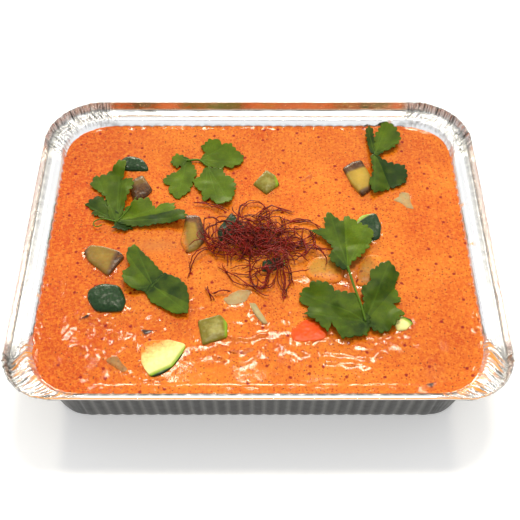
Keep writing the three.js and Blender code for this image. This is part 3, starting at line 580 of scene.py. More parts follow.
# name: place, height over the curry, full height, crown, slope of the top, outline round the place
VEGETABLES = {
    "courgette_cap_back_left": ((-93, 75), 3.5, 14, 0.72, (0, 0.05),
        ((-12, 2), (-8, 7), (-1, 8), (7, 4), (11, -3), (11, -7), (-10, -6))),
    "aubergine_glazed_back_left": ((-86, 51), 3.6, 13, 0.6, (0.03, 0),
        ((-8, 8), (0, 14), (5, 5), (9, -2), (4, -9), (-5, -13), (-8, -2))),
    "aubergine_cut_left": ((-107, -14), 3, 15, 0.86, (0.03, 0),
        ((-15, 5), (-11, 12), (-1, 10), (10, 6), (15, 1), (10, -7), (5, -16), (-10, -3))),
    "courgette_dome_left": ((-102, -47), 4.5, 16, 0.66, (0, 0),
        ((-13, 6), (-6, 11), (3, 11), (9, 9), (14, -3), (12, -12), (-6, -12), (-13, -1))),
    "aubergine_cut_centre": ((-46, 8), 3.2, 14, 0.74, (0, -0.02),
        ((-6, 18), (4, 17), (8, 5), (9, -7), (3, -15), (-4, -18), (-9, -7), (-7, 5))),
    "courgette_wedge_under_threads": ((-20, 11), 3.4, 14, 0.55, (0, 0.04),
        ((1, 17), (11, 3), (7, -10), (-8, -10), (-9, 1))),
    "courgette_sliver_under_threads": ((11, -19), 1.8, 9, 0.7, (0, 0),
        ((-8, 3), (1, 6), (9, 4), (7, -2), (-3, -7), (-9, -6))),
    "courgette_cube_back": ((7, 57), 3.6, 15, 0.78, (0.03, 0.02),
        ((-11, -2), (-1, 12), (6, 6), (9, -3), (-1, -12))),
    "courgette_cube_front": ((-28, -72), 2.6, 15, 0.86, (0.02, 0),
        ((-12, 6), (3, 11), (8, 4), (8, -7), (-8, -13))),
    "courgette_slice_front": ((-62, -93), 1.5, 9, 0.93, (0.05, -0.06),
        ((-14, 10), (-7, 13), (4, 13), (16, 9), (13, 0), (7, -9), (0, -14), (-6, -16), (-13, -5))),
    "onion_large_centre": ((-14, -47), 0.9, 4, 0.8, (0, 0),
        ((-10, -1), (-4, 4), (2, 7), (10, 6), (6, -3), (-1, -6), (-6, -6))),
    "onion_small_centre": ((0, -60), 1.3, 4, 0.7, (0, 0),
        ((-7, 9), (-2, 9), (7, -8), (3, -8), (-2, -1))),
    "onion_front_left": ((-90, -98), 0.7, 4, 0.8, (0, 0),
        ((-8, 2), (-5, 6), (0, 5), (3, 0), (8, -5), (4, -7), (-3, -2))),
    "carrot_chunk_front": ((34, -74), 1.2, 14, 0.84, (0, 0),
        ((-13, 0), (-6, 8), (1, 10), (8, 6), (12, 1), (10, -6), (0, -8), (-11, -8))),
    "pepper_strip_front": ((-9, -89), 0.7, 5, 0.7, (0, 0),
        ((-11, 0), (-3, 2), (7, 3), (8, -1), (-3, -3))),
    "aubergine_cut_right": ((75, 62), 3.6, 16, 0.8, (0, -0.03),
        ((-12, 9), (-4, 16), (3, 18), (9, 0), (8, -13), (1, -19), (-6, -8))),
    "onion_right": ((107, 39), 0.8, 4, 0.8, (0, 0),
        ((-9, 1), (-2, 9), (4, 8), (4, 0), (6, -8), (0, -6), (-3, -2))),
    "courgette_cap_right": ((79, 13), 3.2, 14, 0.7, (0.02, 0.02),
        ((-12, 2), (-5, 12), (6, 14), (9, 2), (7, -9), (2, -12), (-6, -9))),
    "courgette_chunk_front_right": ((96, -68), 2.2, 12, 0.8, (0, 0.04),
        ((-7, 2), (-1, 6), (5, 3), (6, 0), (1, -5), (-5, -6))),
    "aubergine_lump_left": ((45, -24), 3, 14, 0.6, (0, 0),
        ((-14, 0), (-7, 11), (6, 13), (14, 5), (13, -10), (1, -12), (-11, -8))),
    "aubergine_lump_right": ((77, -24), 3, 14, 0.6, (0, 0),
        ((-8, 5), (-1, 14), (9, 13), (10, 0), (-1, -15), (-11, -13))),
    "aubergine_skin_scrap": ((62, -51), 1.6, 6, 0.7, (0, 0),
        ((-7, 7), (3, 7), (6, 0), (3, -9), (-5, -6))),
    "carrot_chip_back": ((37, 62), 0.6, 4, 0.7, (0, 0),
        ((-6, -3), (-1, 1), (4, 5), (4, -1), (-2, -4))),
}
# Scraps that are one with the curry: place and outline.
SCRAPS = (((-73, -74), ((-4, 2), (5, 1), (-1, -3))), ((-115, -62), ((-4, -2), (4, 2), (3, -1))),
          ((108, -114), ((-3, 1), (3, 2), (1, -2))))


def outline_of(corners, count, rounds):
    """An outline as `count` evenly spaced points, rounded by averaging neighbours."""
    loop = np.array(list(corners) + [corners[0]], dtype=float)
    if np.sum(loop[:-1, 0] * loop[1:, 1] - loop[1:, 0] * loop[:-1, 1]) < 0:
        loop = loop[::-1]
    steps = np.hypot(*np.diff(loop, axis=0).T)
    at = np.concatenate([[0], np.cumsum(steps)])
    even = np.linspace(0, at[-1], count, endpoint=False)
    points = np.stack([np.interp(even, at, loop[:, 0]), np.interp(even, at, loop[:, 1])], axis=1)
    for _ in range(rounds):
        points = (np.roll(points, 1, axis=0) + 2 * points + np.roll(points, -1, axis=0)) / 4
    return points


def from_line(x, y, start, end):
    """Distance in mm from each place to a straight piece of line, and the share of the way along it."""
    (ax, ay), (bx, by) = start, end
    ex, ey = bx - ax, by - ay
    share = np.clip(((x - ax) * ex + (y - ay) * ey) / (ex * ex + ey * ey + 1e-9), 0, 1)
    return np.hypot(x - ax - share * ex, y - ay - share * ey), share


def distance_to(x, y, outline):
    """Distance in mm from each place to a closed outline, negative inside it."""
    nearest, inside = np.full(len(x), 1e9), np.zeros(len(x), dtype=bool)
    for (ax, ay), (bx, by) in zip(outline, np.roll(outline, -1, axis=0)):
        nearest = np.minimum(nearest, from_line(x, y, (ax, ay), (bx, by))[0])
        reach = ax + (y - ay) * (bx - ax) / (by - ay + 1e-12)
        inside ^= ((ay > y) != (by > y)) & (x < reach)
    return np.where(inside, -nearest, nearest)


outlines = {name: outline_of(corners, 40, 2) + np.array(at)
            for name, (at, top, depth, crown, slope, corners) in VEGETABLES.items()}
print("pieces that stand in the curry:", len(outlines))

# %% The curry's plan
FILL_INSET = 13.3
PLAN_COLUMNS, STRAIGHT_ROWS, CORNER_ROWS = 340, 200, 40
straight_x, straight_y = TRAY_LENGTH / 2 - CORNER_RADIUS, TRAY_WIDTH / 2 - CORNER_RADIUS


def fill_radius(turn, side):
    """The curry's corner radius at a turn from the side (0) to the front (side -1) or back (side 1)."""
    return CORNER_RADIUS - FILL_INSET - flange_growth(np.cos(turn), np.sign(side) * np.sin(turn))


turn = np.linspace(0, np.pi / 2, CORNER_ROWS)
front_x, back_x = [straight_x + fill_radius(turn, side) * np.cos(turn) for side in (-1, 1)]
front_y, back_y = [side * (straight_y + fill_radius(turn, side) * np.sin(turn)) for side in (-1, 1)]
straight = np.linspace(-straight_y, straight_y, STRAIGHT_ROWS)
rows_y = np.concatenate([front_y[:0:-1], straight, back_y[1:]])
rows_x = np.concatenate([front_x[:0:-1], np.full(STRAIGHT_ROWS, front_x[0]), back_x[1:]])
grid_x = np.outer(rows_x, np.linspace(-1, 1, PLAN_COLUMNS))
grid_y = np.repeat(rows_y[:, None], PLAN_COLUMNS, axis=1)


def edge_distance(x, y):
    """Distance in mm from the foil wall at the curry's level, positive inside."""
    dx, dy = np.maximum(np.abs(x) - straight_x, 0), np.maximum(np.abs(y) - straight_y, 0)
    corner = fill_radius(np.arctan2(dy, dx), y) - np.hypot(dx, dy)
    side = straight_x + fill_radius(0, 1) - np.abs(x)
    end = straight_y + fill_radius(np.pi / 2, y) - np.abs(y)
    return np.where((dx > 0) & (dy > 0), corner, np.minimum(side, end))


# %% The curry's height
# Lumpy places: place, half sizes, how lumpy.
LUMPY = (
    ((-113, -76), (26, 20), 0.6), ((-98, -68), (24, 15), 0.6), ((2, -74), (38, 15), 0.45),
    ((-14, -86), (28, 14), 0.4), ((-40, -55), (22, 12), 0.3), ((60, -82), (48, 9), 0.6),
    ((88, -80), (14, 8), 0.5), ((45, -35), (30, 20), 0.4), ((-92, -58), (24, 6), 0.5),
    ((-85, -108), (30, 8), 0.35), ((-80, 22), (34, 12), 0.25), ((20, 8), (60, 34), 0.22),
    ((-30, -34), (40, 10), 0.25),
)


# Folds of thick sauce whose sides catch the light: height, half width, and a line of places.
FOLDS = (
    (0.9, 2.0, ((-145, -60), (-146, -76), (-143, -92), (-138, -103))),
    (0.9, 2.0, ((143, -56), (144, -72), (143, -90), (139, -100))),
    (1.0, 2.4, ((-100, -76), (-90, -72), (-80, -76), (-78, -84))),
    (0.9, 2.2, ((-112, -84), (-108, -92), (-101, -90), (-98, -80))),
    (1.0, 2.4, ((-32, -80), (-24, -93), (-10, -97), (0, -92), (3, -82))),
    (0.9, 2.4, ((-18, -78), (-6, -80), (6, -74), (18, -66), (22, -58))),
    (0.8, 2.2, ((-8, -52), (-2, -58), (4, -60))),
    (1.0, 2.6, ((14, -84), (24, -91), (36, -88), (48, -90), (60, -92), (72, -93), (80, -88))),
    (0.9, 2.2, ((44, -96), (56, -97), (68, -99))),
    (0.8, 2.0, ((82, -72), (86, -78), (84, -85))),
    (0.7, 1.8, ((-70, -109), (-60, -112), (-78, -108))),
    (0.8, 2.0, ((-44, -72), (-42, -80), (-46, -88))),
    (0.7, 1.8, ((-112, -61), (-104, -63), (-96, -62), (-88, -60))),
    (0.7, 1.8, ((-74, -59), (-66, -64), (-62, -70))),
    (0.7, 2.0, ((18, -70), (20, -80), (16, -88))),
)
FOLD_SHARE = 0.62
FINE_LUMP, COARSE_LUMP = 3.2, 8.0


def patch(x, y, middle, half_sizes, fall=1.0):
    """An oval patch, 1 at its middle, that fades out round it."""
    (cx, cy), (rx, ry) = middle, half_sizes
    return np.exp(-(((x - cx) / rx) ** 2 + ((y - cy) / ry) ** 2) * fall)


def fold_height(x, y, waver):
    """Height in mm of the folds: a rounded ridge along each line, broken up by a noise."""
    total = np.zeros_like(x)
    for height, width, line in FOLDS:
        away = np.min([from_line(x, y, a, b)[0] for a, b in zip(line[:-1], line[1:])], axis=0)
        ridge = height * np.clip(1 + waver, 0.2, 1.7) * np.exp(-(away / width) ** 2)
        total = np.maximum(total, FOLD_SHARE * ridge)
    return total


def wall_climb(x, y, fine, coarse):
    """Height in mm gained at the foil: a low step in the curry's skin and a climb at the wall."""
    from_wall = edge_distance(x, y)
    # The step is higher and farther out at the front, and lower in the front corners.
    step_at = 2.4 + 4.0 * smoothstep(-90, -112, y) + 0.5 * coarse + 0.25 * fine
    step = (0.45 + 0.65 * smoothstep(40, -60, y)) * (1 + 0.45 * coarse)
    step *= 1 - 0.6 * smoothstep(98, 110, np.abs(x)) * smoothstep(-70, -95, y)
    return step * smoothstep(step_at + 1.5, step_at - 1.5, from_wall) + 0.5 * np.exp(-from_wall / 1.2)


def curry_height(x, y):
    """Height in mm of the curry's surface: level, ripple, lumps and its climb up what it touches."""
    swing = np.sin(x * 2 * np.pi / RIPPLE_LENGTH + 1.3 * np.sin(y / RIPPLE_LENGTH))
    ripple = CURRY_RIPPLE * swing * np.cos(y * 2 * np.pi / (RIPPLE_LENGTH * 1.4) + 0.02 * x)
    flat = np.column_stack([x, y, np.zeros_like(x)])
    fine, coarse = roughen(flat, FINE_LUMP, 1.0), roughen(flat, COARSE_LUMP, 4.0)
    lumpy = np.max([amount * patch(x, y, at, sizes, 1.4) for at, sizes, amount in LUMPY], axis=0)
    lumps = lumpy * (2.1 * coarse + 0.3 * fine) + 0.05 * fine + 0.06 * coarse
    lumps += fold_height(x + 2.5 * coarse, y + 1.2 * fine, 1.1 * coarse + 0.4 * fine)
    climb = wall_climb(x, y, fine, coarse)
    for name, outline in outlines.items():
        at_x, at_y = VEGETABLES[name][0]
        near = (np.abs(x - at_x) < 32) & (np.abs(y - at_y) < 32)
        away = distance_to(x[near], y[near], outline)
        climb[near] += (0.35 + 0.3 * fine[near]) * np.exp(-np.maximum(away, 0) / 1.6)
    return CURRY_LEVEL + ripple + lumps + climb


def wall_wave(along, half, flutes):
    """The flutes of a straight wall, from 0 at a ridge to 1 in the middle of a groove."""
    return np.abs(np.sin(np.pi * (along + half) / (2 * half) * flutes)) ** FLUTE_SHARPNESS


flat_x, flat_y = grid_x.ravel(), grid_y.ravel()
beside_wall = smoothstep(4, 0.5, edge_distance(flat_x, flat_y)) * FLUTE_DEPTH
on_short = beside_wall * (np.abs(flat_y) < straight_y) * (np.abs(flat_x) > straight_x)
on_long = beside_wall * (np.abs(flat_x) < straight_x) * (np.abs(flat_y) > straight_y)
height = curry_height(flat_x, flat_y)
moved_x = flat_x + np.sign(flat_x) * on_short * wall_wave(flat_y, straight_y, FLUTES_SHORT)
moved_y = flat_y + np.sign(flat_y) * on_long * wall_wave(flat_x, straight_x, FLUTES_LONG)
print("curry height:", round(float(height.min()), 1), "to", round(float(height.max()), 1), "mm")

# %% [markdown]
# ## The curry's finish
# Coconut curry is an emulsion: matt orange inside with a thin wet skin, so its roughness is low
# and its colour is mottled between a paler cream and a redder oil. Ground spice shows as red and
# dark specks of about a millimetre, and as a few larger flakes. The specks are Voronoi cells, a
# few millimetres apart, of which only the middle is coloured.

# %% Curry material
def specks(tree, place, apart, size, share, seed):
    """A mask of round specks: cells `apart` mm across, a dot of `size` mm in a share of them."""
    shifted = add(tree, "ShaderNodeVectorMath", {0: place, 1: (seed, seed * 1.7, seed * 0.3)}, operation="ADD")
    cells = add(tree, "ShaderNodeTexVoronoi", {"Vector": shifted, "Scale": 1 / apart},
                feature="F1", voronoi_dimensions="2D").outputs
    dot = add(tree, "ShaderNodeMapRange", {"Value": cells["Distance"], 1: size / apart * 0.35,
                                            2: size / apart * 0.62, 3: 1.0, 4: 0.0})
    split = add(tree, "ShaderNodeSeparateColor", {"Color": cells["Color"]})
    chosen = add(tree, "ShaderNodeMath", {0: split, 1: share}, operation="LESS_THAN")
    return add(tree, "ShaderNodeMath", {0: dot, 1: chosen}, operation="MULTIPLY")


def curry_grain(tree, place):
    """The sauce's mottle, about 2 mm across, and its grain, about 1 mm across."""
    mottle = add(tree, "ShaderNodeTexNoise", {"Vector": place, "Scale": 0.48, "Detail": 4, "Roughness": 0.65})
    return mottle, add(tree, "ShaderNodeTexNoise", {"Vector": place, "Scale": 0.95, "Detail": 2})


def curry_colour(tree, place, mottle, grain):
    """The curry's mottled, speckled colour."""
    ragged = add(tree, "ShaderNodeTexNoise", {"Vector": place, "Scale": 0.9, "Detail": 2}).outputs["Color"]
    bent = add(tree, "ShaderNodeVectorMath", {0: ragged, 1: (1.1, 1.1, 0), 2: place}, operation="MULTIPLY_ADD")
    drift = add(tree, "ShaderNodeTexNoise", {"Vector": place, "Scale": 0.03, "Detail": 3})
    redder = add(tree, "ShaderNodeAttribute", attribute_name="redder").outputs["Fac"]
    warmth = add(tree, "ShaderNodeMath", {0: drift, 1: 1.6, 2: redder}, operation="MULTIPLY_ADD")
    colour = coat(tree, linear("da7d22"), linear("ba4804"), warmth, 0.6, 1.7)
    # Paler cream and redder oil, in the mottle and in the grain.
    for tint, value, low, high, most in (
            ("e08c22", mottle, 0.45, 0.66, 0.55), ("b03e04", mottle, 0.47, 0.34, 0.26),
            ("a03604", grain, 0.46, 0.34, 0.16), ("e8a244", grain, 0.56, 0.7, 0.24)):
        colour = coat(tree, colour, linear(tint), value, low, high, most)
    # Ground spice: red specks, dark specks and larger flakes.
    for apart, size, share, seed, tint in (
            (2.6, 1.0, 0.5, 3.1, "a83a08"), (4.6, 0.9, 0.3, 11.7, "6a2c14"), (13.0, 2.3, 0.45, 23.3, "8a1c08")):
        colour = coat(tree, colour, linear(tint), specks(tree, bent, apart, size, share, seed))
    return colour


# The film on the sauce is water with some oil in it, nearly smooth, so it mirrors small lights.
curry_finish, tree, surface = new_material("coconut_curry")
place = place_in_mm(tree)
mottle, grain = curry_grain(tree, place)
colour = curry_colour(tree, place, mottle, grain)
browned, scrap = [add(tree, "ShaderNodeAttribute", attribute_name=key).outputs["Fac"]
                  for key in ("browned", "scrap")]
colour = coat(tree, colour, linear("b5713a"), browned, most=0.65)
colour = coat(tree, colour, linear("3a2a20"), scrap)
bump = add(tree, "ShaderNodeBump", {"Strength": 0.12, "Distance": 0.0008, "Height": mottle})
bump = add(tree, "ShaderNodeBump", {"Strength": 0.1, "Distance": 0.0003, "Height": grain, "Normal": bump})
feed(tree, surface, {"Base Color": colour, "Normal": bump, "Roughness": 0.08, "IOR": 1.38})

# %% Curry piece
SKIRT_SHARE, SKIRT_LEVEL = 0.98, 37.0
# Browned places: place, half sizes, how brown.
BROWNED = (((60, -20), (32, 16), 0.9), ((-72, -2), (24, 8), 0.8), ((-46, 8), (14, 20), 0.5),
           ((60, -46), (14, 12), 0.6))
scrap = np.zeros(len(flat_x))
for (at_x, at_y), corners in SCRAPS:
    away = distance_to(flat_x - at_x, flat_y - at_y, outline_of(corners, 18, 1))
    height += 0.6 * smoothstep(0.6, -0.6, away)
    scrap = np.maximum(scrap, smoothstep(0.4, -0.4, away))
browned = np.max([amount * patch(flat_x, flat_y, at, sizes, 2) for at, sizes, amount in BROWNED], axis=0)
# The sauce is redder at the left and in the front right corner, and paler in the middle and in front.
redder = 0.55 + 0.5 * smoothstep(-85, -130, flat_x) - 0.35 * patch(flat_x, flat_y, (5, -15), (95, 75), 1.5)
redder += 0.4 * patch(flat_x, flat_y, (118, -95), (30, 32)) - 0.25 * np.exp(-((flat_y + 108) / 10) ** 2)
top = np.column_stack([moved_x, moved_y, height])
rows, columns = grid_x.shape
index = np.arange(rows * columns).reshape(rows, columns)
quads = np.stack([index[:-1, :-1], index[:-1, 1:], index[1:, 1:], index[1:, :-1]], axis=-1).reshape(-1, 4)
loop = np.concatenate([index[0, :-1], index[:-1, -1], index[-1, :0:-1], index[:0:-1, 0]])
low = np.arange(len(loop)) + rows * columns
centre = np.full(len(loop), rows * columns + len(loop))
skirt = np.column_stack([top[loop, :2] * SKIRT_SHARE, np.full(len(loop), SKIRT_LEVEL)])
sides = np.stack([low, np.roll(low, -1), np.roll(loop, -1), loop], axis=-1)
under = np.stack([centre, np.roll(low, -1), low], axis=-1)
points = np.vstack([top, skirt, [[0, 0, SKIRT_LEVEL]]])
masks = {key: np.append(values, np.zeros(len(loop) + 1))
         for key, values in (("scrap", scrap), ("browned", browned), ("redder", redder))}
curry = make_piece("curry_fill", points, quads.tolist() + sides.tolist() + under.tolist(), curry_finish, masks)
declare(curry, "curry")

# %% [markdown]
# ## Cut vegetables
# The courgette and aubergine were cut into wedges and cubes before cooking, so each piece has a
# soft cut face of flesh and a strip of skin where the knife left it. Each piece is a stack of
# rings of its own outline: flat-topped where it is a cube and domed where it is a cap of skin.
# Straight lines laid over a piece say where its skin starts, and the flesh turns lime towards it.

# %% Vegetable material
def vegetable(name, pale, deep, rind, skin, skin_fleck, skin_rough):
    """Soft cooked flesh from pale to deep, a rind and a skin, with curry clinging to it."""
    # Cooked flesh is wet and soft, so light goes a little way in and its fibres barely show.
    material, tree, surface = new_material(name)
    place = place_in_mm(tree)
    read = {key: add(tree, "ShaderNodeAttribute", attribute_name=key).outputs["Fac"]
            for key in ("skin", "rind", "tone", "film")}
    fibre = add(tree, "ShaderNodeTexNoise", {"Vector": place, "Scale": 0.45, "Detail": 4})
    fleck = add(tree, "ShaderNodeTexNoise", {"Vector": place, "Scale": 0.8, "Detail": 3})
    uneven = add(tree, "ShaderNodeMath", {0: fibre, 1: 0.36, 2: -0.18}, operation="MULTIPLY_ADD")
    tone = add(tree, "ShaderNodeMath", {0: read["tone"], 1: uneven}, operation="ADD", use_clamp=True)
    # The tone also carries painted light: the middle of a piece's top is paler.
    colour = coat(tree, linear(pale), linear(deep), tone)
    colour = coat(tree, colour, linear(rind), read["rind"])
    flecked = coat(tree, linear(skin), linear(skin_fleck), fleck, 0.42, 0.75, 0.7)
    colour = coat(tree, colour, flecked, read["skin"])
    ragged = add(tree, "ShaderNodeMapRange", {"Value": fibre, 1: 0.3, 2: 0.7, 3: -0.1, 4: 0.1})
    clinging = add(tree, "ShaderNodeMath", {0: read["film"], 1: ragged}, operation="ADD")
    sauce = curry_colour(tree, place, *curry_grain(tree, place))
    colour = coat(tree, colour, sauce, clinging, 0.1, 0.9)
    rough = add(tree, "ShaderNodeMapRange", {"Value": read["skin"], 3: 0.34, 4: skin_rough})
    bump = add(tree, "ShaderNodeBump", {"Strength": 0.2, "Distance": 0.0004, "Height": fibre})
    feed(tree, surface, {"Base Color": colour, "Roughness": rough, "Normal": bump, "IOR": 1.34,
                         "Specular IOR Level": 0.32, "Subsurface Weight": 0.12, "Subsurface Scale": 0.002})
    return material


FINISHES = {
    "courgette": vegetable("cooked_courgette", "f1eb9a", "70661a", "7c9c12", "1a3218", "2f4d2a", 0.28),
    "aubergine": vegetable("cooked_aubergine", "bb9a38", "68501f", "5c4228", "40281a", "7a5224", 0.26),
    "onion": vegetable("cooked_onion", "b9aa78", "6a5a38", "a89866", "84704a", "a8986a", 0.25),
    "carrot": vegetable("cooked_carrot", "de4c00", "d24200", "dc5a10", "d24200", "e05a10", 0.5),
    "pepper": vegetable("cooked_pepper", "ac4414", "86300c", "a23c10", "7c2c0c", "a04618", 0.25),
}

# %% How each piece was cut
ALL = "all over"
# name: slot, rounding, tone, film, and lines that say where skin is, rind shows or curry clings.
# Each line is a point on the piece, the direction it faces in degrees, and how soft its edge is.
CUTS = {
    "courgette_cap_back_left": ("courgette_skin", 3, 0.5, 0.0, {"skin": ALL, "cling": [(0, -7.5, -90, 1.2)]}),
    "aubergine_glazed_back_left": ("aubergine_skin", 3, 1.0, 0.0, {
        "skin": [(0, 0.5, -65, 6)], "rind": [(-5, 6, 120, 3)], "cling": [(-7, -2, 190, 2)]}),
    "aubergine_cut_left": ("aubergine_flesh", 2, 0.75, 0.1, {
        "skin": [(8.2, -2, -13, 0.7), (-13.3, 5, 180, 0.8)]}),
    "courgette_dome_left": ("courgette_skin", 4, 0.5, 0.0, {"skin": ALL, "rind": [(2, 10.4, 92, 0.5)]}),
    "aubergine_cut_centre": ("aubergine_flesh", 2, 0.7, 0.1, {
        "skin": [(4.5, 3, 12, 1.5), (0, 11, 80, 5)], "cling": [(-5, -6, 190, 2.5)]}),
    "courgette_wedge_under_threads": ("courgette_skin", 2, 0.5, 0.05, {"skin": ALL}),
    "courgette_sliver_under_threads": ("courgette_skin", 2, 0.3, 0.0, {
        "skin": ALL, "rind": [(6, 2.5, 35, 0.8)]}),
    "courgette_cube_back": ("courgette_flesh", 1, 0.95, 0.05, {"skin": [(7.4, 2, 5, 0.5)]}),
    "courgette_cube_front": ("courgette_flesh", 1, 0.9, 0.0, {"skin": [(7.9, 0, 5, 0.4)]}),
    "courgette_slice_front": ("courgette_flesh", 2, 0.05, 0.0, {
        "skin": [(10.6, -2.9, -30, 0.4), (0.4, -12, -62, 0.4)], "cling": [(-2, 2, 122, 10)]}),
    "onion_large_centre": ("onion", 2, 0.4, 0.1, {}),
    "onion_small_centre": ("onion", 2, 0.3, 0.1, {}),
    "onion_front_left": ("onion", 2, 0.9, 0.15, {}),
    "carrot_chunk_front": ("carrot", 3, 0.5, 0.1, {"cling": [(11, 4, 20, 3)]}),
    "pepper_strip_front": ("pepper", 2, 0.5, 0.2, {}),
    "aubergine_cut_right": ("aubergine_flesh", 1, 0.3, 0.0, {
        "skin": [(-2, 8, 115, 4.0), (5, -13.5, -60, 1.4)]}),
    "onion_right": ("onion", 2, 0.4, 0.1, {}),
    "courgette_cap_right": ("courgette_skin", 2, 0.1, 0.0, {"skin": ALL, "rind": [(-3.8, 7.8, 128, 0.9)]}),
    "courgette_chunk_front_right": ("courgette_flesh", 1, 0.1, 0.0, {"skin": [(2.6, 2.4, 50, 0.5)]}),
    "aubergine_lump_left": ("aubergine_flesh", 5, 0.5, 0.4, {"cling": [(0, -6, -90, 5)]}),
    "aubergine_lump_right": ("aubergine_flesh", 5, 0.85, 0.4, {"cling": [(4, 0, 0, 6)]}),
    "aubergine_skin_scrap": ("aubergine_skin", 2, 0.8, 0.2, {"skin": ALL}),
    "carrot_chip_back": ("pepper", 2, 0.2, 0.1, {}),
}


def half_plane(x, y, lines):
    """From 0 to 1 where any of the lines says so, and the distance in mm past the nearest of them."""
    if lines == ALL:
        return np.ones_like(x), np.full_like(x, 99.0)
    mask, past = np.zeros_like(x), np.full_like(x, -99.0)
    for px, py, degrees, soft in lines:
        a = math.radians(degrees)
        ahead = (x - px) * math.cos(a) + (y - py) * math.sin(a)
        mask, past = np.maximum(mask, smoothstep(-soft, soft, ahead)), np.maximum(past, ahead)
    return mask, past


# %% Cut pieces
OUTLINE_POINTS = 84
# Below the curry's level a piece is a little narrower: share of its outline and height.
ROOT = ((0.93, -4.0), (0.99, -1.2), (1.0, 0.0))
DOME = [*np.linspace(1, 0.94, 5)[1:], *np.linspace(0.9, 0.06, 17)]


def cut_piece(name):
    """A vegetable piece as rings of its outline, with its skin, rind, tone with painted light and curry film.
    """
    (at_x, at_y), top, depth, crown, slope, corners = VEGETABLES[name]
    slot, rounds, tone, film, lines_of = CUTS[name]
    outline = outline_of(corners, OUTLINE_POINTS, rounds * 3)
    power = 1.43 / (1 - crown) ** 0.6
    levels = [(0.8, top - depth + 0.3), *ROOT]
    levels += [(s, top * max(1 - s ** power, 0) ** (1 / power)) for s in DOME]
    points, faces = skin_rings([np.column_stack([outline * s, np.full(OUTLINE_POINTS, z)]) for s, z in levels])
    x, y, z = points.T
    up = smoothstep(-1, top * 0.6, z)
    z = z + x * slope[0] + y * slope[1]
    seed = (at_x * 0.37 + at_y * 0.11) % 17
    placed = np.column_stack([x + at_x, y + at_y, z])
    skin_lines = lines_of.get("skin", [])
    # Skin wrinkles more than flesh as it cooks.
    wrinkle = 1.6 if skin_lines == ALL else 1.0
    z = z + (roughen(placed, 5.5, seed) * 0.3 + roughen(placed, 2.2, seed + 3) * 0.13) * wrinkle * up
    x, y = x * (1 + 0.012 * roughen(placed, 4, seed + 7)), y * (1 + 0.012 * roughen(placed, 4, seed + 9))
    skin, past = half_plane(x, y, skin_lines)
    bare, _ = half_plane(x, y, lines_of.get("rind", []))
    clinging, _ = half_plane(x, y, lines_of.get("cling", []))
    rind = smoothstep(-3.2, -0.4, past) if skin_lines and skin_lines != ALL else np.zeros_like(x)
    wet = smoothstep(0.9 + 5 * film, 0.1, z) * (0.75 + 0.6 * film) * (1 if top > 1.4 else 0.35)
    from_middle = np.append(np.repeat([s for s, _ in levels], OUTLINE_POINTS), [0.8, 0.0])
    # Painted light: the middle of each piece's top is painted paler, as if the light fell most on it.
    painted_top_light = 0.24 * np.exp(-(from_middle / 0.55) ** 2) * (z > 0)
    tone_with_top_light = tone + 0.14 - painted_top_light + 0.12 * roughen(placed, 6, seed + 5)
    attributes = {"skin": skin * (1 - bare), "rind": np.maximum(rind, bare), "tone": np.clip(tone_with_top_light, 0, 1),
                  "film": np.clip(film + clinging * 0.62 + wet, 0, 1)}
    placed = np.column_stack([x + at_x, y + at_y, z + CURRY_LEVEL])
    piece = make_piece(name + "_piece", placed, faces, FINISHES[slot.partition("_")[0]], attributes)
    declare(piece, name)


for name in VEGETABLES:
    cut_piece(name)

# %% [markdown]
# ## Coriander
# A coriander leaflet is thin, fan-shaped and deeply toothed, and it wilts over what it lies on.
# Each leaflet is drawn as reaches from its middle at chosen angles, one for each tooth and notch.
# Small round teeth are added along that outline, rings fill it in, and its height follows the
# food below with a lift at the stalk, folds along the veins and a wavy edge.

# %% Coriander material
# A fresh leaf is thin and soft: it hardly shines, lets a little light in, and has paler veins.
coriander, tree, surface = new_material("coriander_leaf")
place = place_in_mm(tree)
vein, painted_shade_and_tone, stalk = [add(tree, "ShaderNodeAttribute", attribute_name=key).outputs["Fac"]
                      for key in ("vein", "painted_shade_and_tone", "stalk")]
patches = add(tree, "ShaderNodeTexNoise", {"Vector": place, "Scale": 0.12, "Detail": 3})
cells = add(tree, "ShaderNodeTexNoise", {"Vector": place, "Scale": 0.9, "Detail": 3})
# Painted shade: leaflets, and parts of them, that lie in shade are painted darker.
tone = add(tree, "ShaderNodeMath", {0: patches, 1: 0.9, 2: painted_shade_and_tone}, operation="MULTIPLY_ADD")
colour = coat(tree, linear("596f10"), linear("1a2e06"), tone, 0.3, 1.2)
colour = coat(tree, colour, linear("2a4308"), cells, 0.35, 0.7, 0.3)
colour = coat(tree, colour, linear("5f7f22"), vein, most=0.3)
colour = coat(tree, colour, linear("4d6a1c"), stalk)
raised = add(tree, "ShaderNodeMath", {0: cells, 1: 0.5, 2: vein}, operation="MULTIPLY_ADD")
bump = add(tree, "ShaderNodeBump", {"Strength": 0.35, "Distance": 0.0004, "Height": raised})
feed(tree, surface, {"Base Color": colour, "Normal": bump, "Roughness": 0.45, "Specular IOR Level": 0.08,
                     "Subsurface Weight": 0.08, "Subsurface Scale": 0.001})
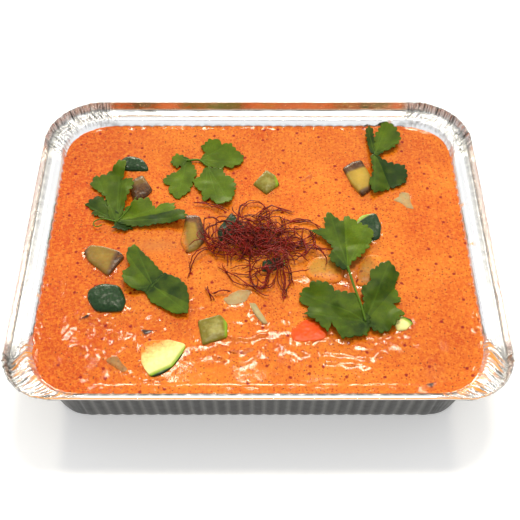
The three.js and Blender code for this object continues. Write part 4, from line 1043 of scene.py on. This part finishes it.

# %% The sprigs
# rise, tooth depth, stems as (width, route), leaflets as (heart, stalk, tip, roll, painted shade, edge)
SPRIGS = {
    "coriander_sprig_left": (1.4, 2.4, (
        (0.9, ((-101, 18), (-97, 23), (-92, 31), (-88, 38))),
        (1.1, ((-101, 18), (-111, 21), (-117, 19), (-118, 15), (-114, 12), (-111, 15)))), (
        ((-106, 49), (-101, 18), 1.2, 0, 0.3,
            ((0, 15), (26, 16), (53, 10), (72, 26), (84, 26), (102, 18), (134, 17), (136, 21), (167, 18),
             (185, 12), (244, 10), (270, 30), (283, 32), (306, 17))),
        ((-114, 31), (-101, 18), 0.4, 0, 0.55,
            ((48, 8), (96, 13), (136, 12), (161, 12), (201, 5), (224, 8), (276, 8), (309, 17),
             (335, 17))),
        ((-77, 24), (-101, 18), 2.2, -0.06, 0.3,
            ((7, 23), (16, 18), (35, 20), (55, 14), (65, 7), (97, 14), (128, 16), (160, 20), (190, 26),
             (194, 26), (220, 17), (256, 11), (325, 14), (341, 26), (352, 27))),
        ((-96, 14), (-101, 18), 0.4, 0, 0.95,
            ((43, 7), (135, 7), (194, 8), (286, 4), (346, 7))))),
    "coriander_sprig_back": (0.8, 1.9, ((2, ((-54, 78), (-44, 79), (-38, 72))),), (
        ((-61, 78), (-54, 78), 0.4, 0, 0.05,
            ((5, 10), (23, 8), (51, 7), (98, 8), (142, 5), (203, 5), (267, 7), (343, 9))),
        ((-58, 58), (-54, 78), 0.5, 0, 0.05,
            ((33, 15), (57, 18), (72, 22), (80, 22), (97, 10), (153, 11), (185, 13), (212, 9), (235, 13),
             (268, 18), (281, 15), (306, 13), (348, 10))),
        ((-29, 84), (-44, 79), 0.7, 0, 0.1,
            ((22, 14), (58, 15), (86, 12), (91, 17), (116, 19), (149, 17), (169, 11), (198, 16),
             (230, 15), (271, 15), (293, 12), (302, 16), (334, 19), (357, 18))),
        ((-32, 54), (-38, 72), 1.6, 0, 0.12,
            ((28, 15), (49, 12), (73, 17), (113, 19), (145, 14), (166, 17), (192, 14), (220, 12),
             (245, 19), (257, 14), (279, 22), (303, 22), (323, 18), (353, 16))))),
    "coriander_sprig_front_left": (1, 1.0, (), (
        ((-80, -27), (-71.5, -38), 1.2, -0.03, 0.3,
            ((62, 12), (104, 24), (118, 21), (135, 15), (154, 8), (180, 12), (202, 13), (232, 15),
             (257, 16), (284, 16), (307, 15), (354, 16))),
        ((-60, -45), (-71.5, -38), 2, 0.03, 0.4,
            ((29, 13), (68, 14), (104, 18), (145, 15), (174, 16), (209, 13), (261, 12), (287, 17),
             (310, 21), (346, 14))))),
    "coriander_sprig_back_right": (2, 2.3, (), (
        ((97, 100), (88, 83), 5.5, 0, 0.25,
            ((5, 12), (46, 13), (76, 15), (93, 15), (164, 8), (223, 12), (245, 22), (251, 19), (265, 13),
             (304, 12), (344, 12))),
        ((86, 102), (88, 83), 4, 0, 0.6,
            ((76, 9), (99, 10), (138, 5), (266, 19), (278, 23), (298, 9))),
        ((94, 62), (88, 83), 0.5, 0.05, 0.6,
            ((7, 17), (36, 19), (73, 14), (104, 21), (120, 20), (167, 9), (213, 15), (241, 21), (268, 14),
             (306, 13), (338, 16))))),
    "coriander_sprig_right": (2.4, 2.4, ((2, ((61, -26), (64, -40), (68, -56), (70.5, -68))),), (
        ((61, -2), (61, -26), 2.6, 0.05, 0.2,
            ((17, 21), (38, 21), (72, 19), (87, 24), (94, 18), (101, 22), (110, 30), (123, 26), (135, 19),
             (150, 22), (157, 27), (164, 17), (189, 12), (220, 12), (231, 21), (254, 25), (270, 28),
             (278, 20), (304, 17), (341, 17))),
        ((48, -58), (70.5, -68), 0.8, 0, 0.35,
            ((31, 21), (51, 17), (71, 15), (91, 20), (115, 24), (142, 25), (164, 21), (170, 14),
             (193, 18), (231, 14), (262, 19), (270, 12), (285, 24), (304, 26), (318, 31), (334, 28),
             (345, 27), (358, 21))),
        ((83, -52), (70.5, -68), 1, 0.03, 0.35,
            ((4, 13), (55, 16), (60, 27), (78, 33), (89, 30), (108, 24), (116, 16), (145, 17), (180, 13),
             (228, 21), (240, 23), (249, 24), (265, 25), (282, 22), (323, 17), (347, 7))))),
}
LEAF_THICKNESS, LEAF_CLEARANCE = 0.3, 0.5
TOOTH_PITCH, OUTLINE_STEP, STEM_STEP = 5.4, 0.55, 1.2
VEIN_WIDTH, FOLD_WIDTH, FOLD_DEPTH = 0.45, 1.6, 0.16


def food_height(x, y):
    """Height in mm of the food under a leaf or thread: the curry with a soft swelling over each piece."""
    swell = np.zeros_like(x)
    for (at_x, at_y), top, *_, corners in VEGETABLES.values():
        reach = np.abs(np.array(corners)).max(axis=0) + 1
        away = np.hypot((x - at_x) / reach[0], (y - at_y) / reach[1])
        swell = np.maximum(swell, (top + 0.6) * (1 - smoothstep(0.95, 1.8, away)))
    return CURRY_LEVEL + CURRY_RIPPLE + swell


def toothed(heart, edge, seed, depth):
    """The leaflet's outline as points about half a millimetre apart, with small round teeth."""
    angles, reach = np.radians([a for a, r in edge]), np.array([r + 0.6 for a, r in edge])
    corners = np.column_stack([np.cos(angles) * reach, np.sin(angles) * reach])
    around = np.hypot(*(np.roll(corners, -1, axis=0) - corners).T).sum()
    count = int(around / OUTLINE_STEP)
    points = outline_of(corners, count, 2)
    random = np.random.default_rng(seed)
    teeth = max(round(around / TOOTH_PITCH), 5)
    cuts = np.sort((np.arange(teeth) + random.uniform(-0.22, 0.22, teeth)) / teeth)
    deep = depth * random.uniform(0.5, 1.2, teeth)
    at = np.arange(count) / count
    before = np.searchsorted(cuts, at, side="right") - 1
    start, end = cuts[before], np.append(cuts[1:], cuts[0] + 1)[before]
    share = np.mod(at - start, 1) / np.mod(end - start, 1)
    notch = deep[before] * (1 - np.abs(np.sin(np.pi * share)) ** 0.7)
    far = np.hypot(*points.T)
    keep = 1 - np.minimum(notch / np.maximum(far, 1), 0.35)
    return points * keep[:, None] + np.array(heart)


def leaflet(heart, stalk, tip, roll, dark, edge, rise, depth, seed):
    """Points, faces and attributes of one leaflet, a thin body whose two faces are split alike."""
    outline = toothed(heart, edge, int(seed * 7) + 3, depth)
    count = len(outline)
    scales = np.concatenate([np.linspace(0.04, 0.9, 18), [0.955, 1.0]])
    flat = np.concatenate([np.array(heart) + (outline - np.array(heart)) * s for s in scales])
    x, y = flat.T
    reach = max(r for a, r in edge)
    way = np.array(heart, dtype=float) - np.array(stalk)
    length = np.hypot(*way) + reach * 0.7
    way /= np.hypot(*way)
    along = (x - stalk[0]) * way[0] + (y - stalk[1]) * way[1]
    aside = (y - stalk[1]) * way[0] - (x - stalk[0]) * way[1]
    t = smoothstep(0, length, along)
    free = smoothstep(4, 14, along)
    placed = np.column_stack([x, y, np.zeros_like(x)])
    wave = (0.35 * np.sin(x / 3.5) * np.cos(y / 4) + 0.55 * roughen(placed, 7, seed)) * free
    lift = rise * (1 - t) + tip * t + roll * aside + wave
    vein = np.zeros_like(x)
    # A vein runs to each tooth that reaches farther than its neighbours.
    for (_, before), (a, r), (_, after) in zip(edge[-1:] + edge[:-1], edge, edge[1:] + edge[:1]):
        if r < max(before, after):
            continue
        end = np.array(heart) + np.array([math.cos(math.radians(a)), math.sin(math.radians(a))]) * r * 0.92
        away, u = from_line(x, y, stalk, end)
        vein = np.maximum(vein, np.exp(-(away / VEIN_WIDTH) ** 2) * (1 - 0.6 * u))
        lift = lift - FOLD_DEPTH * np.exp(-(away / FOLD_WIDTH) ** 2) * free
    z = food_height(x, y) + LEAF_CLEARANCE + np.maximum(lift, 0)
    top = np.column_stack([x, y, z + LEAF_THICKNESS]).reshape(len(scales), count, 3)
    bottom = np.column_stack([x, y, z]).reshape(len(scales), count, 3)
    points, faces = skin_rings(np.concatenate([bottom, top[::-1]]))
    # A leaf is darker along its folds and beside its stalk.
    # Painted shade: each leaflet has its own shade, and it is darker beside its stalk and on one side of its
    # roll. Its tone also differs at random.
    painted_shade_and_tone = dark + 0.25 * roughen(placed, 9, seed + 2) + 0.35 * np.exp(-(along / 5) ** 2)
    painted_shade_and_tone += 0.12 * np.sign(aside) * roll / 0.03
    both = {key: np.concatenate([v, v.reshape(len(scales), count)[::-1].ravel(), [v[0], v[0]]])
            for key, v in (("vein", vein), ("painted_shade_and_tone", painted_shade_and_tone))}
    return points, faces, {**both, "stalk": np.zeros(len(points))}


def smooth_line(route, step, fewest, rounds):
    """A route as evenly spaced points, rounded by averaging neighbours, and how far along each one is."""
    route = np.array(route, dtype=float)
    at = np.concatenate([[0], np.cumsum(np.linalg.norm(np.diff(route, axis=0), axis=1))])
    even = np.linspace(0, at[-1], max(int(at[-1] / step), fewest))
    line = np.stack([np.interp(even, at, values) for values in route.T], axis=1)
    for _ in range(rounds):
        line[1:-1] = (line[:-2] + 2 * line[1:-1] + line[2:]) / 4
    return line, even


def stem(path, width, sides=8):
    """Points, faces and attributes of a round stem along a path of (x, y, z) points in mm."""
    line, even = smooth_line(path, STEM_STEP, 4, 6)
    ahead = np.gradient(line, axis=0)
    ahead /= np.linalg.norm(ahead, axis=1)[:, None]
    side = np.cross(ahead, [0, 0, 1.0])
    side /= np.linalg.norm(side, axis=1)[:, None]
    up = np.cross(side, ahead)
    turns = np.linspace(0, 2 * np.pi, sides, endpoint=False)
    taper = np.interp(even, [0, even[-1]], [1, 0.75])
    rings = [p + w * width / 2 * (np.outer(np.cos(turns), s) + np.outer(np.sin(turns), u))
             for p, s, u, w in zip(line, side, up, taper)]
    points, faces = skin_rings(rings)
    ones = np.ones(len(points))
    return points, [f[::-1] for f in faces], {"vein": 0 * ones, "painted_shade_and_tone": 0.3 * ones, "stalk": ones}


def join(parts):
    """Several bodies as one list of points, faces and attributes."""
    faces, start = [], 0
    for part_points, part_faces, _ in parts:
        faces += [[i + start for i in face] for face in part_faces]
        start += len(part_points)
    attributes = {key: np.concatenate([part[2][key] for part in parts]) for key in ("vein", "painted_shade_and_tone", "stalk")}
    return np.vstack([part[0] for part in parts]), faces, attributes


# %% Coriander pieces
for name, (rise, depth, stems, leaflets) in SPRIGS.items():
    parts = [leaflet(*one, rise, depth, 5.0 * k + len(name)) for k, one in enumerate(leaflets)]
    for width, route in stems:
        flat = np.array(route, dtype=float)
        z = food_height(flat[:, 0], flat[:, 1]) + LEAF_CLEARANCE + rise + width / 2 - 0.3
        parts.append(stem(np.column_stack([flat, z]), width * 0.9))
    points, faces, attributes = join(parts)
    sprig = make_piece(name.replace("coriander_sprig", "coriander"), points, faces, coriander, attributes)
    declare(sprig, name)

# %% [markdown]
# ## Chilli threads
# Dried chilli cut as fine as thread lies in a loose tangle, less than a millimetre wide.
# Python sets out the threads' middle lines: the ones that can be made out in the tangle, and
# seeded random curls in its dense parts. A Geometry Nodes tree follows each line, makes it
# waver, and sweeps a small flat section along it that thins towards both ends.

# %% Chilli material
# Dried chilli skin goes from a brown-black to a deep red along a thread, and shines softly.
chilli, tree, surface = new_material("dried_chilli_thread")
place = place_in_mm(tree)
drift = add(tree, "ShaderNodeTexNoise", {"Vector": place, "Scale": 0.25, "Detail": 3})
colour = coat(tree, linear("3d0a06"), linear("861a0c"), drift, 0.3, 0.7)
feed(tree, surface, {"Base Color": colour, "Roughness": 0.42, "Specular IOR Level": 0.12})

# %% Thread lines
random = np.random.default_rng(29)
SEEN_THREADS = (
    ((-25, -19), (-17, -35), (-7, -40), (9, -38), (14, -25)), ((-30, -45), (-24, -43), (-18, -43)),
    ((-36, -39), (-32, -46), (-29, -50)), ((-47, 36), (-38, 35), (-30, 31), (-23, 24)),
    ((-48, -31), (-45, -19), (-40, -10), (-31, -7), (-18, -4)), ((52, -9), (42, -8), (31, -5), (22, 0)),
    ((-2, 22), (9, 34), (16, 31), (25, 28)), ((-4, 18), (6, 28), (16, 29), (24, 29)),
    ((18, 21), (30, 17), (38, 20), (45, 9), (52, -5)), ((10, 8), (18, 14), (27, 22), (38, 20)),
    ((-11, 16), (-12, 29), (-4, 37), (4, 34), (9, 25), (6, 13)), ((-14, 13), (-13, 31), (-9, 34)),
    ((12, 10), (23, 12), (36, 11), (41, 0), (32, -16), (21, -11)),
    ((19, 4), (31, 4), (35, -9), (26, -19), (18, -16)),
    ((10, -4), (22, -5), (38, -4), (49, -19), (46, -23)), ((-6, -12), (-5, -35), (3, -43), (8, -33), (7, -21)),
    ((12, -8), (14, -19), (16, -35), (20, -47)), ((14, -8), (16, -19), (18, -33), (16, -48)),
    ((17, -8), (19, -19), (22, -30), (19, -44)),
    ((-20, -4), (-30, -3), (-38, 4), (-39, 18), (-32, 21), (-26, 14)),
    ((-18, -8), (-25, -9), (-36, -5), (-37, 11), (-28, 13)), ((-37, -3), (-32, -11), (-24, -14), (-10, -12)),
    ((-31, 13), (-21, 16), (-13, 9)), ((-28, 10), (-16, 4), (0, 12), (12, 8)),
    ((-12, 20), (-2, 24), (8, 22), (14, 14)),
)
# Dense parts of the tangle: place, half sizes, threads.
CLUSTERS = (((-14, 0), (18, 13), 58), ((11, -4), (15, 11), 52), ((0, 12), (17, 12), 26),
            ((-24, 2), (9, 14), 14), ((24, 0), (13, 13), 18), ((10, -22), (9, 10), 16),
            ((-6, -24), (13, 12), 12))
CORE_THREADS, THREAD_POINTS_APART, CURL_STEP = 60, 1.5, 4.2


def thread_line(flat, low, high):
    """Points in mm along a thread, from its (x, y) places, arching between two heights."""
    line, even = smooth_line(flat, THREAD_POINTS_APART, 6, 8)
    arch = np.sin(np.pi * even / even[-1])
    z = food_height(line[:, 0], line[:, 1]) + 0.6 + low + (high - low) * arch
    return np.column_stack([line, z])


lines = [thread_line(flat, 0.1, random.uniform(0.8, 2.6)) for flat in SEEN_THREADS]
for flat in SEEN_THREADS:
    shifted = np.array(flat) + random.normal(0, 1.4, (len(flat), 2))
    lines.append(thread_line(shifted, 0.1, random.uniform(0.5, 2.4)))
for (cx, cy), (rx, ry), threads in CLUSTERS:
    for _ in range(threads):
        heading = random.uniform(0, 2 * np.pi)
        here = np.array([cx + rx * random.normal(0, 0.45), cy + ry * random.normal(0, 0.45)])
        flat, curl = [here], random.normal(0, 0.28)
        for _ in range(random.integers(3, 8)):
            heading += curl + random.normal(0, 0.35)
            pull = np.array([cx, cy]) - here
            here = here + CURL_STEP * np.array([math.cos(heading), math.sin(heading)]) + pull * 0.07
            flat.append(here)
        lines.append(thread_line(flat, random.uniform(0.0, 2.6), random.uniform(0.2, 3.4)))
core = [(random.normal(-2, 11), random.normal(1, 7)) for _ in range(CORE_THREADS)]
for cx, cy in core:
    bent = np.array([(cx - 6, cy), (cx, cy), (cx + 6, cy)]) + random.normal(0, 4, (3, 2))
    lines.append(thread_line(bent, 0.0, random.uniform(0.0, 1.2)))
print("chilli threads:", len(lines), "over", round(float(np.ptp(np.vstack(lines)[:, 0]))), "mm")


# %% Thread tree
def thread_tree():
    """Sweeps a small flat section along each line, which it makes waver."""
    tree, given = new_tree("sweep_threads", {"Lines": "Geometry", "Half width": "Float", "Waver": "Float",
                                             "Step": "Float", "Material": "Material"}, "Threads")
    curves = add(tree, "GeometryNodeMeshToCurve", {0: given["Lines"]})
    even = add(tree, "GeometryNodeResampleCurve", {"Curve": curves, "Length": given["Step"]}, mode="LENGTH")
    place = add(tree, "GeometryNodeInputPosition")
    uneven = add(tree, "ShaderNodeTexNoise", {"Vector": place, "Scale": 260.0, "Detail": 1.0}).outputs["Color"]
    centred = add(tree, "ShaderNodeVectorMath", {0: uneven, 1: (0.5, 0.5, 0.5)}, operation="SUBTRACT")
    waver = add(tree, "ShaderNodeVectorMath", {0: centred, "Scale": given["Waver"]}, operation="SCALE")
    wavering = add(tree, "GeometryNodeSetPosition", {"Geometry": even, "Offset": waver})
    along = add(tree, "GeometryNodeSplineParameter").outputs["Factor"]
    thinning = add(tree, "ShaderNodeFloatCurve", {"Value": along})
    curve = thinning.mapping.curves[0]
    curve.points[0].location, curve.points[1].location = (0, 0.35), (1, 0.3)
    curve.points.new(0.2, 1.0)
    curve.points.new(0.8, 0.95)
    section = add(tree, "GeometryNodeCurvePrimitiveCircle", {"Resolution": 5, "Radius": given["Half width"]},
                  mode="RADIUS")
    flat = add(tree, "GeometryNodeTransform", {"Geometry": section, "Scale": (1.0, 0.6, 1.0)})
    swept = add(tree, "GeometryNodeCurveToMesh", {"Curve": wavering, "Profile Curve": flat,
                                                   "Scale": thinning, "Fill Caps": True})
    return end_tree(tree, swept, given["Material"])


# %% Chilli tangle
THREAD_HALF_WIDTH, THREAD_WAVER, THREAD_STEP = 0.42, 1.6, 1.3
starts = np.cumsum([0] + [len(line) for line in lines])
line_edges = [(int(start) + i, int(start) + i + 1) for start, line in zip(starts, lines)
              for i in range(len(line) - 1)]
line_mesh = bpy.data.meshes.new("chilli_lines")
line_mesh.from_pydata((np.vstack(lines) * MM).tolist(), line_edges, [])
tangle = new_object("chilli_tangle", line_mesh)
apply_nodes(tangle, thread_tree(), {"Half width": THREAD_HALF_WIDTH * MM, "Waver": THREAD_WAVER * MM,
                                    "Step": THREAD_STEP * MM, "Material": chilli})
tangle.data.polygons.foreach_set("use_smooth", [True] * len(tangle.data.polygons))
declare(tangle, "chilli_threads")
